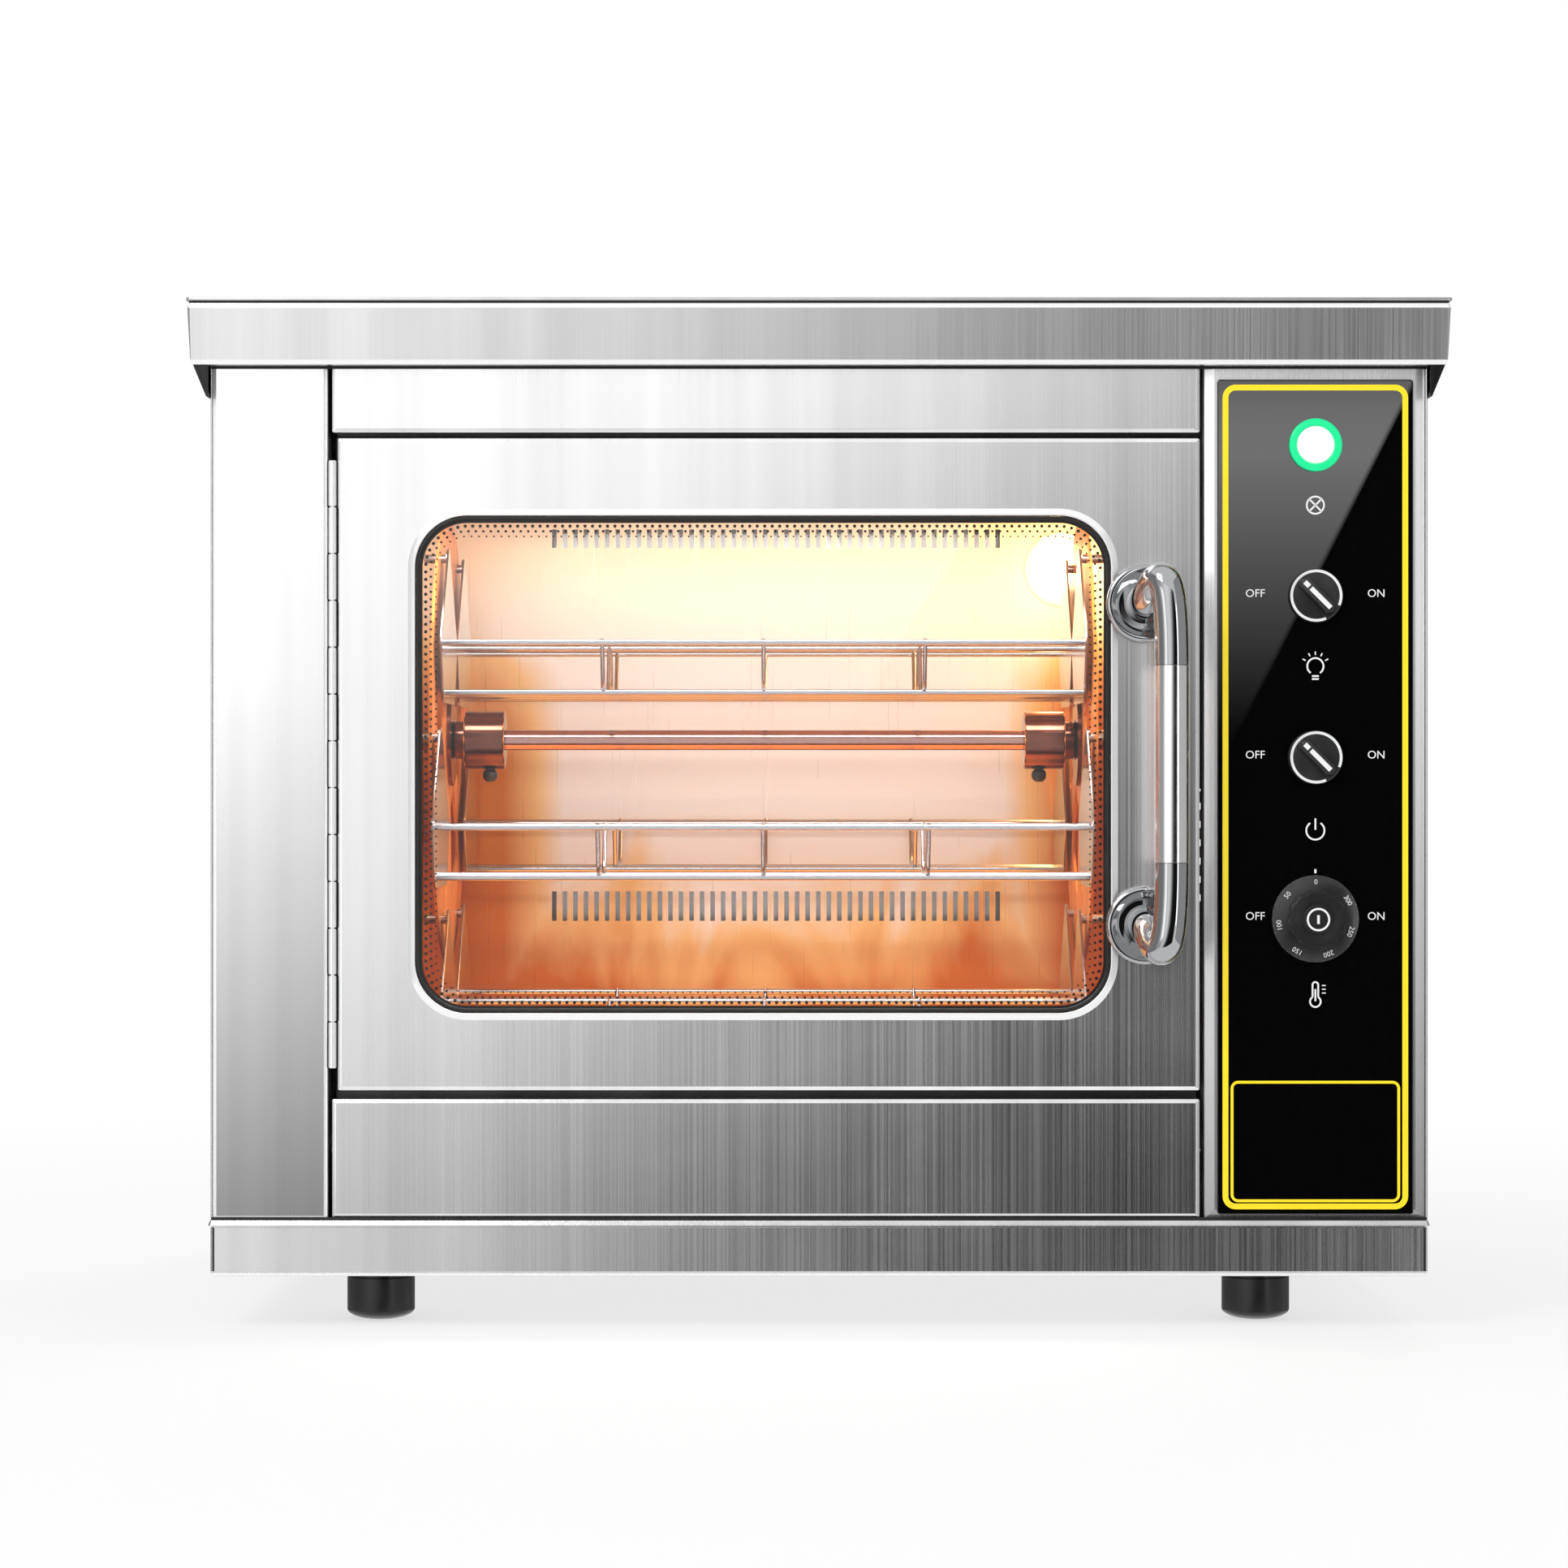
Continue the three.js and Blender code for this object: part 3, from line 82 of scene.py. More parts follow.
def skinOf(points, closeRows=False, closeColumns=True, caps=True):
    # points is rows x columns x 3; an open row end gets a flat cap
    rows, columns = points.shape[:2]
    ends = []
    if caps and closeColumns and not closeRows:
        ends = [np.arange(columns)[::-1], np.arange(columns) + (rows - 1) * columns]
    return points.reshape(-1, 3), gridFaces(rows, columns, closeRows, closeColumns), ends


def together(shells):
    points, quads, caps, start = [], [], [], 0
    for shellPoints, shellQuads, shellCaps in shells:
        points.append(shellPoints)
        quads.append(shellQuads + start)
        caps += [cap + start for cap in shellCaps]
        start += len(shellPoints)
    return np.concatenate(points), np.concatenate(quads), caps


def unit(vectors):
    return vectors / np.linalg.norm(vectors, axis=-1, keepdims=True)


def directions(path, closed):
    # unit steps along a path, from each point's two neighbours
    return unit(np.roll(path, -1, 0) - np.roll(path, 1, 0) if closed else np.gradient(path, axis=0))


def ringRound(axis):
    # two directions square to the axis and to each other
    axis = unit(np.asarray(axis, float))
    helper = np.where(np.abs(axis[..., 2:3]) > 0.9, [[0.0, 1.0, 0.0]], [[0.0, 0.0, 1.0]]).reshape(axis.shape)
    across = unit(np.cross(axis, helper))
    return across, np.cross(across, axis)


def turnedShell(profile, centre, axis, sides=64, closed=False):
    # lathe: centre + height * axis + radius * (cos t * across + sin t * above), t once round
    profile = np.asarray(profile, float)
    axis = np.asarray(axis, float)
    across, above = ringRound(axis)
    t = np.linspace(0, 2 * np.pi, sides, endpoint=False)
    ring = np.cos(t)[:, None] * across + np.sin(t)[:, None] * above
    points = np.asarray(centre) + profile[:, 1][:, None, None] * axis + profile[:, 0][:, None, None] * ring
    return skinOf(points, closeRows=closed)


def pinShell(radius, length, foot, axis, sides=24):
    # a plain round pin that rises from its foot
    return turnedShell([(0, 0), (radius, 0), (radius, length), (0, length)], foot, axis, sides)


def domeRow(radius, rise, start=0.0, count=12, angles=(0.0, math.pi / 2)):
    # (radius * cos a, start + rise * sin a) between the two angles
    return [(radius * math.cos(a), start + rise * math.sin(a)) for a in np.linspace(*angles, count)]


def tubeShell(path, radius, sides=12, closed=False, reference=None):
    # a circle square to the path at each of its points: path + radius * (cos t * across + sin t * above)
    path = np.asarray(path, float)
    ahead = directions(path, closed)
    if reference is None:
        across, above = ringRound(ahead)
    else:
        across = unit(np.cross(ahead, reference))
        above = np.cross(across, ahead)
    t = np.linspace(0, 2 * np.pi, sides, endpoint=False)[None, :, None]
    radii = np.broadcast_to(radius, (len(path),))[:, None, None]
    points = path[:, None] + radii * (np.cos(t) * across[:, None] + np.sin(t) * above[:, None])
    return skinOf(points, closeRows=closed)


def roundedLoop(edges, grow=0.0, steps=12):
    # four corner centres, each with a quarter circle of the radius round it; grow moves all edges outwards
    left, right, low, high, radius = edges
    r = max(radius + grow, crease)
    xs = np.array([right + grow - r, left - grow + r, left - grow + r, right + grow - r])
    ys = np.array([high + grow - r, high + grow - r, low - grow + r, low - grow + r])
    t = np.arange(4)[:, None] * np.pi / 2 + np.linspace(0, np.pi / 2, steps)[None]
    return np.stack([xs[:, None] + r * np.cos(t), ys[:, None] + r * np.sin(t)], -1).reshape(-1, 2)


def placed(flat, depth, plane):
    # a flat loop set into space: "xz" faces the front, "xy" lies level, "yz" faces the side
    depth = np.full(len(flat), depth)
    order = {"xz": (flat[:, 0], depth, flat[:, 1]), "xy": (flat[:, 0], flat[:, 1], depth),
             "yz": (depth, flat[:, 0], flat[:, 1])}[plane]
    return np.stack(order, -1)


def loopShell(rows, plane="xz", closed=False, steps=12):
    # a profile carried round its outlines: each row is (edges, grow, depth)
    loops = [placed(roundedLoop(edges, grow, steps), depth, plane) for edges, grow, depth in rows]
    return skinOf(np.stack(loops), closeRows=closed)


def ringShell(edges, rows, plane="xz", closed=False, steps=12):
    # a profile of (grow, depth) pairs carried round one outline
    return loopShell([(edges, grow, depth) for grow, depth in rows], plane, closed, steps)


def arcRow(centreGrow, centreDepth, radius, start, end, count=5):
    # (grow, depth) pairs on a circular arc, angles in degrees
    t = np.radians(np.linspace(start, end, count))
    return np.stack([centreGrow + radius * np.cos(t), centreDepth + radius * np.sin(t)], -1)


def filletPath(corners, reach, steps=6):
    # each inner corner C becomes (1-t)^2 A + 2t(1-t) C + t^2 B, with A and B a reach away along its two sides
    corners = np.asarray(corners, float)
    before, corner, after = corners[:-2], corners[1:-1], corners[2:]
    a = corner + unit(before - corner) * reach
    b = corner + unit(after - corner) * reach
    t = np.linspace(0, 1, steps)[None, :, None]
    bends = (1 - t) ** 2 * a[:, None] + 2 * t * (1 - t) * corner[:, None] + t ** 2 * b[:, None]
    return np.concatenate([corners[:1], bends.reshape(-1, 3), corners[-1:]])


def offsetPolygon(corners, radius, steps=6):
    # a convex outline grown by a radius: at each corner the normal swings from one side's to the next's
    corners = np.asarray(corners, float)
    side = np.roll(corners, -1, 0) - corners
    leaving = np.arctan2(-side[:, 0], side[:, 1])
    arriving = np.roll(leaving, 1)
    swing = (leaving - arriving + np.pi) % (2 * np.pi) - np.pi
    t = arriving[:, None] + swing[:, None] * np.linspace(0, 1, steps)[None]
    return (corners[:, None] + radius * np.stack([np.cos(t), np.sin(t)], -1)).reshape(-1, 2)


def plateShell(loops, depths, plane):
    # flat loops stacked at their depths
    return skinOf(np.stack([placed(loop, depth, plane) for loop, depth in zip(loops, depths)]))


def ribbonShell(path, width, front, thickness=0.00012, closed=False):
    # a thin flat strip on the fascia: path plus and minus half the width along its own normal
    path = np.asarray(path, float)
    ahead = directions(path, closed)
    normal = np.stack([-ahead[:, 1], ahead[:, 0]], -1) * width / 2
    left, right = path + normal, path - normal
    back = front - thickness
    corners = ((left, front), (right, front), (right, back), (left, back))
    section = [placed(side, depth, "xz") for side, depth in corners]
    return skinOf(np.stack(section, 1), closeRows=closed)


def circlePath(x, z, radius, start=0.0, end=360.0, count=48):
    t = np.radians(np.linspace(start, end, count, endpoint=abs(end - start) < 359.9))
    return np.stack([x + radius * np.cos(t), z + radius * np.sin(t)], -1)


def boxShell(low, high):
    # the eight corners of a block, as two flat loops
    flat = np.array([[low[0], low[1]], [high[0], low[1]], [high[0], high[1]], [low[0], high[1]]])
    return plateShell([flat, flat], (low[2], high[2]), "xy")


def slopedEdge(front, back, width, tilt, rounding=0.0006):
    # side wall, small arc, straight strip at the tilt, then the flat face; (grow, depth) pairs
    turn = math.radians(90 - tilt)
    reach = rounding * (math.cos(turn) - 1) + width
    centre = front + reach * math.tan(math.radians(tilt)) + rounding * math.sin(turn)
    rows = [(0, back), (0, centre + rounding)] + arcRow(-rounding, centre, rounding, 0, tilt - 90, 6).tolist()
    return rows + [(-width, front), (-width - 0.0008, front)]


def slottedSheet(xs, zs, kept, front, back):
    # grid lines xs and zs; kept cells get a front and a back face, and walls stand where kept changes
    xx, zz = np.meshgrid(xs, zs)
    layers = [np.stack([xx, np.full_like(xx, y), zz], -1).reshape(-1, 3) for y in (front, back)]
    columns, behind = len(xs), xx.size
    corner = np.arange(behind).reshape(xx.shape)
    a, b, c, d = corner[:-1, :-1][kept], corner[:-1, 1:][kept], corner[1:, 1:][kept], corner[1:, :-1][kept]
    quads = [np.stack([a, b, c, d], -1), np.stack([d, c, b, a], -1) + behind]
    padded = np.pad(kept, 1)
    upright = padded[1:-1, 1:] != padded[1:-1, :-1]
    level = padded[1:, 1:-1] != padded[:-1, 1:-1]
    walls = ((corner[:-1][upright], corner[1:][upright]), (corner[:, :-1][level], corner[:, 1:][level]))
    for low, high in walls:
        quads.append(np.stack([low, high, high + behind, low + behind], -1))
    return np.concatenate(layers), np.concatenate(quads), []


def repeated(shell, centres):
    # the same small shape at many centres, all in one go
    points, quads, caps = shell
    centres = np.asarray(centres, float)
    shift = np.arange(len(centres)) * len(points)
    allPoints = (points[None] + centres[:, None]).reshape(-1, 3)
    allQuads = (quads[None] + shift[:, None, None]).reshape(-1, 4)
    return allPoints, allQuads, [cap + s for cap in caps for s in shift]


def addPiece(name, shells, body, material, instead=(), sharp=32.0):
    points, quads, caps = together(shells if isinstance(shells, list) else [shells])
    mesh = bpy.data.meshes.new(name)
    mesh.from_pydata(points.tolist(), [], quads.tolist() + [cap.tolist() for cap in caps])
    work = bmesh.new()
    work.from_mesh(mesh)
    bmesh.ops.remove_doubles(work, verts=work.verts, dist=1e-6)
    bmesh.ops.recalc_face_normals(work, faces=work.faces)
    work.to_mesh(mesh)
    work.free()
    mesh.polygons.foreach_set("use_smooth", np.ones(len(mesh.polygons), bool))
    mesh.set_sharp_from_angle(angle=math.radians(sharp))
    mesh.materials.append(material)
    made = linked(name, mesh)
    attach(made, body)
    if instead:
        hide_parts(*instead)
    return made


def span(name):
    low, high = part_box(name)
    return np.array(low), np.array(high)


def middle(name):
    low, high = span(name)
    return (low + high) / 2


# Finishes
def newFinish(name, color, rough, metal=0.0):
    material = bpy.data.materials.new(name)
    material.use_nodes = True
    shader = material.node_tree.nodes["Principled BSDF"]
    shader.inputs["Base Color"].default_value = (*color, 1)
    shader.inputs["Roughness"].default_value = rough
    shader.inputs["Metallic"].default_value = metal
    return material, material.node_tree, shader


def withInputs(material, values):
    # further sockets of the finish's own shader
    for socket, value in values.items():
        material.node_tree.nodes["Principled BSDF"].inputs[socket].default_value = value
    return material


def objectParts(tree):
    # where a point lies in the object's own frame, as X, Y and Z
    where = tree.nodes.new("ShaderNodeTexCoord")
    parts = tree.nodes.new("ShaderNodeSeparateXYZ")
    tree.links.new(where.outputs["Object"], parts.inputs["Vector"])
    return parts.outputs


def surfaceFrom(tree, shader):
    tree.links.new(shader.outputs[0], tree.nodes["Material Output"].inputs["Surface"])


def mixedShader(tree, share, one, other):
    mix = tree.nodes.new("ShaderNodeMixShader")
    tree.links.new(share, mix.inputs[0])
    tree.links.new(one.outputs[0], mix.inputs[1])
    tree.links.new(other.outputs[0], mix.inputs[2])
    return mix


def noiseOf(tree, scale, detail=4.0, distort=0.0):
    where = tree.nodes.new("ShaderNodeTexCoord")
    stretch = tree.nodes.new("ShaderNodeMapping")
    stretch.inputs["Scale"].default_value = scale
    noise = tree.nodes.new("ShaderNodeTexNoise")
    noise.inputs["Scale"].default_value = 1.0
    noise.inputs["Detail"].default_value = detail
    noise.inputs["Distortion"].default_value = distort
    tree.links.new(where.outputs["Object"], stretch.inputs["Vector"])
    tree.links.new(stretch.outputs["Vector"], noise.inputs["Vector"])
    return noise.outputs["Fac"]


def ranged(tree, value, low, high, start=0.3, end=0.7):
    scale = tree.nodes.new("ShaderNodeMapRange")
    scale.inputs["From Min"].default_value = start
    scale.inputs["From Max"].default_value = end
    scale.inputs["To Min"].default_value = low
    scale.inputs["To Max"].default_value = high
    tree.links.new(value, scale.inputs["Value"])
    return scale.outputs["Result"]


def blended(tree, factor, one, other):
    mix = tree.nodes.new("ShaderNodeMix")
    mix.data_type = "RGBA"
    tree.links.new(factor, mix.inputs[0])
    for socket, value in ((mix.inputs[6], one), (mix.inputs[7], other)):
        if isinstance(value, tuple):
            socket.default_value = (*value, 1)
        else:
            tree.links.new(value, socket)
    return mix.outputs[2]


def mathOf(tree, operation, one, other):
    node = tree.nodes.new("ShaderNodeMath")
    node.operation = operation
    for socket, value in zip(node.inputs, (one, other)):
        if isinstance(value, (int, float)):
            socket.default_value = value
        else:
            tree.links.new(value, socket)
    return node.outputs[0]


def raised(tree, shader, height, strength, distance):
    bump = tree.nodes.new("ShaderNodeBump")
    bump.inputs["Strength"].default_value = strength
    bump.inputs["Distance"].default_value = distance
    tree.links.new(height, bump.inputs["Height"])
    tree.links.new(bump.outputs["Normal"], shader.inputs["Normal"])


brushSet = {"smear": (7.0, 7.0, 9.0), "lineShare": 0.32, "bandShare": 0.68, "tones": (0.36, 0.64),
            "roughSpread": 0.05, "smearRough": (-0.015, 0.02), "relief": 0.35, "bump": 0.000022}
polishSet = {"haze": (30.0, 30.0, 30.0), "scratch": (60.0, 700.0, 500.0), "relief": 0.08, "bump": 0.00002}
mouldSet = {"broad": (45.0, 45.0, 45.0), "worn": (0.45, 0.8), "rough": (-0.04, 0.08), "relief": 0.25}


def brushedFinish(name, color, dark, rough, grain=(900.0, 900.0, 1.5), band=(26.0, 26.0, 0.5)):
    # brush lines are noise stretched along the grain; broad bands and a few hand marks lie over them
    material, tree, shader = newFinish(name, color, rough, 1.0)
    lines = noiseOf(tree, grain, 2.0)
    bands = noiseOf(tree, band, 2.0)
    smears = noiseOf(tree, brushSet["smear"], 3.0, 0.6)
    tone = mathOf(tree, "ADD", mathOf(tree, "MULTIPLY", lines, brushSet["lineShare"]),
                  mathOf(tree, "MULTIPLY", bands, brushSet["bandShare"]))
    mixed = blended(tree, ranged(tree, tone, 0.0, 1.0, *brushSet["tones"]), dark, color)
    tree.links.new(mixed, shader.inputs["Base Color"])
    spread = brushSet["roughSpread"]
    gloss = mathOf(tree, "ADD", ranged(tree, lines, rough - spread, rough + spread),
                   ranged(tree, smears, *brushSet["smearRough"]))
    tree.links.new(gloss, shader.inputs["Roughness"])
    raised(tree, shader, lines, brushSet["relief"], brushSet["bump"])
    return material


def dimmedFoot(material, low, high, share):
    # painted shade: the base colour falls to a share of itself from the upper height down to the lower one
    tree = material.node_tree
    shader = tree.nodes["Principled BSDF"]
    full = shader.inputs["Base Color"].links[0].from_socket
    mix = tree.nodes.new("ShaderNodeMix")
    mix.data_type, mix.blend_type = "RGBA", "MULTIPLY"
    mix.inputs[7].default_value = (share, share, share, 1)
    tree.links.new(ranged(tree, objectParts(tree)["Z"], 1.0, 0.0, low, high), mix.inputs[0])
    tree.links.new(full, mix.inputs[6])
    tree.links.new(mix.outputs[2], shader.inputs["Base Color"])
    return material


def polishedFinish(name, color, rough, wear=0.05):
    material, tree, shader = newFinish(name, color, rough, 1.0)
    haze = noiseOf(tree, polishSet["haze"], 5.0, 0.3)
    scratches = noiseOf(tree, polishSet["scratch"], 3.0)
    tree.links.new(ranged(tree, haze, rough, rough + wear), shader.inputs["Roughness"])
    raised(tree, shader, scratches, polishSet["relief"], polishSet["bump"])
    return material


def mouldedFinish(name, color, worn, rough, grain=1400.0, bumpHeight=0.00003):
    # fine pebble of a moulded surface, with a paler worn tone where broad noise is high
    material, tree, shader = newFinish(name, color, rough)
    pebble = noiseOf(tree, (grain, grain, grain), 2.0)
    broad = noiseOf(tree, mouldSet["broad"], 4.0)
    tone = blended(tree, ranged(tree, broad, 0.0, 1.0, *mouldSet["worn"]), color, worn)
    tree.links.new(tone, shader.inputs["Base Color"])
    smooth, dull = mouldSet["rough"]
    tree.links.new(ranged(tree, broad, rough + smooth, rough + dull), shader.inputs["Roughness"])
    raised(tree, shader, pebble, mouldSet["relief"], bumpHeight)
    return material


def glowFinish(name, color, rough, strength):
    # moulded plastic or print with a glow of its own colour, painted light where the part is no lamp
    glow = {"Emission Color": (*color, 1), "Emission Strength": strength}
    return withInputs(mouldedFinish(name, color, color, rough, 300.0), glow)


# heat colours by share of heat, and the heights and distances from the wheel's middle between which it fades;
# the share under the roof also paints the lamp's golden light
heatColors = {0.0: (0.96, 0.935, 0.90), 0.4: (0.92, 0.62, 0.27), 1.0: (0.66, 0.19, 0.012)}
heatSet = {"floor": (0.18, 0.285), "side": (0.36, 0.47), "aside": (0.165, 0.21), "roof": (0.43, 0.52),
           "roofLampShare": 0.24, "wander": 0.055, "middle": -0.007, "rough": (0.27, 0.34)}


def linerFinish(s):
    # bright oven sheet that heat has turned amber low down and beside the wheel, and straw under the roof
    # that is partly painted golden lamp light
    material, tree, shader = newFinish("linerSteel", (0.95, 0.93, 0.90), 0.3, 0.4)
    parts = objectParts(tree)
    stain = noiseOf(tree, (9.0, 9.0, 5.0), 4.0, 0.8)
    height = mathOf(tree, "ADD", parts["Z"], ranged(tree, stain, -s["wander"], s["wander"]))
    fromMiddle = mathOf(tree, "ADD", parts["X"], s["middle"] - float(middle("wheel_shaft")[0]))
    aside = mathOf(tree, "ABSOLUTE", fromMiddle, 0.0)
    flanks = mathOf(tree, "MULTIPLY", ranged(tree, aside, 0.0, 1.0, *s["aside"]),
                    ranged(tree, height, 1.0, 0.0, *s["side"]))
    heat = mathOf(tree, "MAXIMUM", ranged(tree, height, 1.0, 0.0, *s["floor"]), flanks)
    # painted light: the straw under the roof stands partly for the lamp's golden light
    heat = mathOf(tree, "MAXIMUM", heat, ranged(tree, parts["Z"], 0.0, s["roofLampShare"], *s["roof"]))
    straw = tree.nodes.new("ShaderNodeValToRGB")
    straw.color_ramp.elements.new(0.4)
    for element, (share, color) in zip(straw.color_ramp.elements, heatColors.items()):
        element.position = share
        element.color = (*color, 1)
    tree.links.new(heat, straw.inputs["Fac"])
    tree.links.new(straw.outputs["Color"], shader.inputs["Base Color"])
    grain = noiseOf(tree, (700.0, 700.0, 6.0), 5.0)
    tree.links.new(ranged(tree, grain, *s["rough"]), shader.inputs["Roughness"])
    raised(tree, shader, grain, polishSet["relief"], polishSet["bump"])
    return withInputs(material, {"Specular IOR Level": 0.12})


def glassFinish(name, tint, rough, ior=1.5):
    # light from lamps passes the pane, and the eye sees real glass
    material, tree, shader = newFinish(name, tint, rough)
    clear = tree.nodes.new("ShaderNodeBsdfTransparent")
    clear.inputs["Color"].default_value = (0.95, 0.96, 0.95, 1)
    path = tree.nodes.new("ShaderNodeLightPath")
    surfaceFrom(tree, mixedShader(tree, path.outputs["Is Shadow Ray"], shader, clear))
    return withInputs(material, {"Transmission Weight": 1.0, "IOR": ior})


def fasciaFinish():
    # black lacquer with a little dust in it, under a clear coat
    material, tree, shader = newFinish("glossBlackPanel", (0.002, 0.002, 0.0024), 0.5)
    dust = noiseOf(tree, (700.0, 700.0, 700.0), 3.0)
    share = ranged(tree, dust, 0.0, 1.0, 0.5, 0.8)
    dusty = blended(tree, share, (0.0008, 0.0008, 0.0009), (0.003, 0.003, 0.0032))
    tree.links.new(dusty, shader.inputs["Base Color"])
    tree.links.new(ranged(tree, dust, 0.4, 0.6), shader.inputs["Roughness"])
    coat = {"Coat Weight": 1.0, "Coat Roughness": 0.0, "Coat IOR": 1.7}
    return withInputs(material, {"Specular IOR Level": 0.02, **coat})


halfMetal = {"Metallic": 0.5}
panelBand = (42.0, 42.0, 0.4)
paleGrey, deeperGrey = (0.92, 0.92, 0.925), (0.80, 0.80, 0.81)
satinGrey, deeperSatin = (0.95, 0.95, 0.955), (0.88, 0.88, 0.885)
brushedSteel = brushedFinish("brushedSteel", paleGrey, deeperGrey, 0.22, band=panelBand)
# painted shade: a darker copy of the panel steel for the cover
coverSteel = brushedFinish("coverSteel", (0.70, 0.70, 0.705), (0.60, 0.60, 0.605), 0.33,
                           (900.0, 60.0, 1.5), (36.0, 36.0, 0.4))
topSteel = brushedFinish("topSteel", (0.74, 0.74, 0.745), (0.62, 0.62, 0.625), 0.27,
                         (1.5, 900.0, 900.0), (0.5, 36.0, 36.0))
# painted shade: darker copies of the panel steel for the base and the lower panel
baseSteel = brushedFinish("baseSteel", (0.68, 0.68, 0.685), (0.58, 0.58, 0.59), 0.275, band=panelBand)
lowerSteel = brushedFinish("lowerSteel", (0.83, 0.83, 0.835), (0.71, 0.71, 0.72), 0.22, band=panelBand)
columnSteel = brushedFinish("columnSteel", paleGrey, deeperGrey, 0.22, band=panelBand)
# painted shade: the left front column darkens towards the foot
dimmedFoot(columnSteel, 0.07, 0.42, 0.42)
satinSteel = withInputs(brushedFinish("satinSteel", satinGrey, deeperSatin, 0.26), halfMetal)
# polished steel for the window bead, also on the paler edge skins that partly paint their highlights
beadAndHighlightSteel = withInputs(polishedFinish("beadAndHighlightSteel", satinGrey, 0.2), halfMetal)
controlSteel = withInputs(brushedFinish("controlSteel", satinGrey, deeperSatin, 0.26), halfMetal)
# painted shade: the control column darkens towards the foot
dimmedFoot(controlSteel, 0.07, 0.44, 0.4)
# painted shade: the liner's front frame is nearly black, so the gaps round the door read as shadow
frameShadeSteel = brushedFinish("frameShadeSteel", (0.12, 0.12, 0.123), (0.08, 0.08, 0.083), 0.42)
# painted shade: nearly black steel for the cornices and the hinge leaves, where shade falls
paintedShadeSteel = brushedFinish("shadedSteel", (0.05, 0.05, 0.052), (0.025, 0.025, 0.026), 0.4)
polishedSteel = polishedFinish("polishedSteel", (0.93, 0.93, 0.94), 0.05)
# painted shade: the handle's bends take a darker chrome than the grip, for the dark surroundings they mirror
paintedShadeChrome = polishedFinish("shadedHandleChrome", (0.44, 0.445, 0.455), 0.03, 0.03)
gripSteel = polishedFinish("gripSteel", (0.86, 0.86, 0.865), 0.12, 0.05)
wireSteel = polishedFinish("basketWire", (0.52, 0.52, 0.55), 0.14)
# painted reflection: the shaft's steel is tinted red-brown for the warm oven walls it mirrors
shaftSteel = polishedFinish("shaftSteel", (0.50, 0.30, 0.27), 0.1)
linerSteel = linerFinish(heatSet)
galvanised = mouldedFinish("galvanisedSheet", (0.55, 0.57, 0.58), (0.66, 0.67, 0.68), 0.42, 60.0)
withInputs(galvanised, {"Metallic": 0.9})
castMetal = mouldedFinish("castMetal", (0.075, 0.078, 0.082), (0.12, 0.12, 0.125), 0.5, 500.0, 0.0001)
discSteel = brushedFinish("strawSteel", (0.86, 0.34, 0.09), (0.70, 0.22, 0.04), 0.3)
withInputs(discSteel, {"Metallic": 0.2, "Specular IOR Level": 0.05, "Specular Tint": (1.0, 0.5, 0.2, 1.0)})
panSteel = brushedFinish("panSteel", (0.86, 0.84, 0.81), (0.72, 0.69, 0.65), 0.27)
hubBronze = brushedFinish("hubBronze", (0.30, 0.12, 0.085), (0.12, 0.045, 0.03), 0.13, (9.0, 500.0, 500.0))
glossBlack = fasciaFinish()
mattBlack = mouldedFinish("mattBlackPlastic", (0.012, 0.012, 0.013), (0.03, 0.03, 0.03), 0.34)
dialBlack = mouldedFinish("dialBlack", (0.02, 0.02, 0.021), (0.04, 0.04, 0.041), 0.2)
rubber = mouldedFinish("blackRubber", (0.008, 0.008, 0.009), (0.02, 0.02, 0.021), 0.3, 700.0, 0.00005)
# black rubber for the seals, also for the strips and bands of painted shadow
sealAndShadeBlack = mouldedFinish("sealAndShadeBlack", (0.005, 0.005, 0.005), (0.012, 0.012, 0.012), 0.45, 900.0)
clearGlass = glassFinish("windowGlass", (1.0, 1.0, 1.0), 0.0)
# painted light: the green ring and the white and yellow print glow a little, though they are no lamps
greenPlastic = glowFinish("greenPlastic", (0.0, 0.66, 0.24), 0.3, 0.4)
whitePlastic = glowFinish("whiteLens", (0.84, 0.90, 0.86), 0.25, 0.25)
whitePrint = glowFinish("whitePrint", (0.78, 0.79, 0.79), 0.45, 0.12)
yellowPrint = glowFinish("yellowPrint", (0.93, 0.72, 0.004), 0.4, 0.12)
ceramic = mouldedFinish("whiteCeramic", (0.80, 0.78, 0.72), (0.7, 0.66, 0.58), 0.5)
lampGlow = glowFinish("lampGlow", (1.0, 0.86, 0.58), 0.2, 5.0)
print("finishes made")


# Cover: rolled edges under paler skins that partly paint their highlights, a dark seam under the top plate
# with a black band of painted shadow in it, and cornices on both sides in painted shade
coverSet = {"edge": 0.0008, "strip": 0.0032, "stripDepth": 0.0012, "lean": 0.0018, "seam": 0.0014,
            "seamDepth": 0.002, "plate": 0.0022, "sheet": 0.0012, "cornerRadius": 0.0025, "plateInset": 0.003,
            "plateDrop": 0.0003, "skin": 0.00006, "sideAbove": 0.0397, "corniceInset": 0.0035, "lip": 0.001,
            "mouthFront": 0.0045, "hollow": (0.009, 0.0052, 0.0046), "hollowTop": 0.002}
low, high = span("top_cover")
shellTop = span("left_side_panel")[1][2] - coverSet["sideAbove"]
sideX, backY = span("left_side_panel")[0][0], span("back_panel")[1][1]
edge = coverSet["edge"]
skirt = (low[0] + edge, high[0] - edge, low[1] + edge, high[1] - edge, coverSet["cornerRadius"])
mouth = (sideX - soft, -sideX + soft, frontY - coverSet["mouthFront"], backY + soft, soft)


def stripSkin(edges, outer, steps):
    # a thin bright skin over part of a profile that partly paints a polished edge's highlight: its points a
    # little further out, and back again inside
    skin = coverSet["skin"]
    rows = [(grow + skin, depth) for grow, depth in outer]
    rows += [(grow - 5 * skin, depth) for grow, depth in outer[::-1]]
    return ringShell(edges, rows, "xy", closed=True, steps=steps)


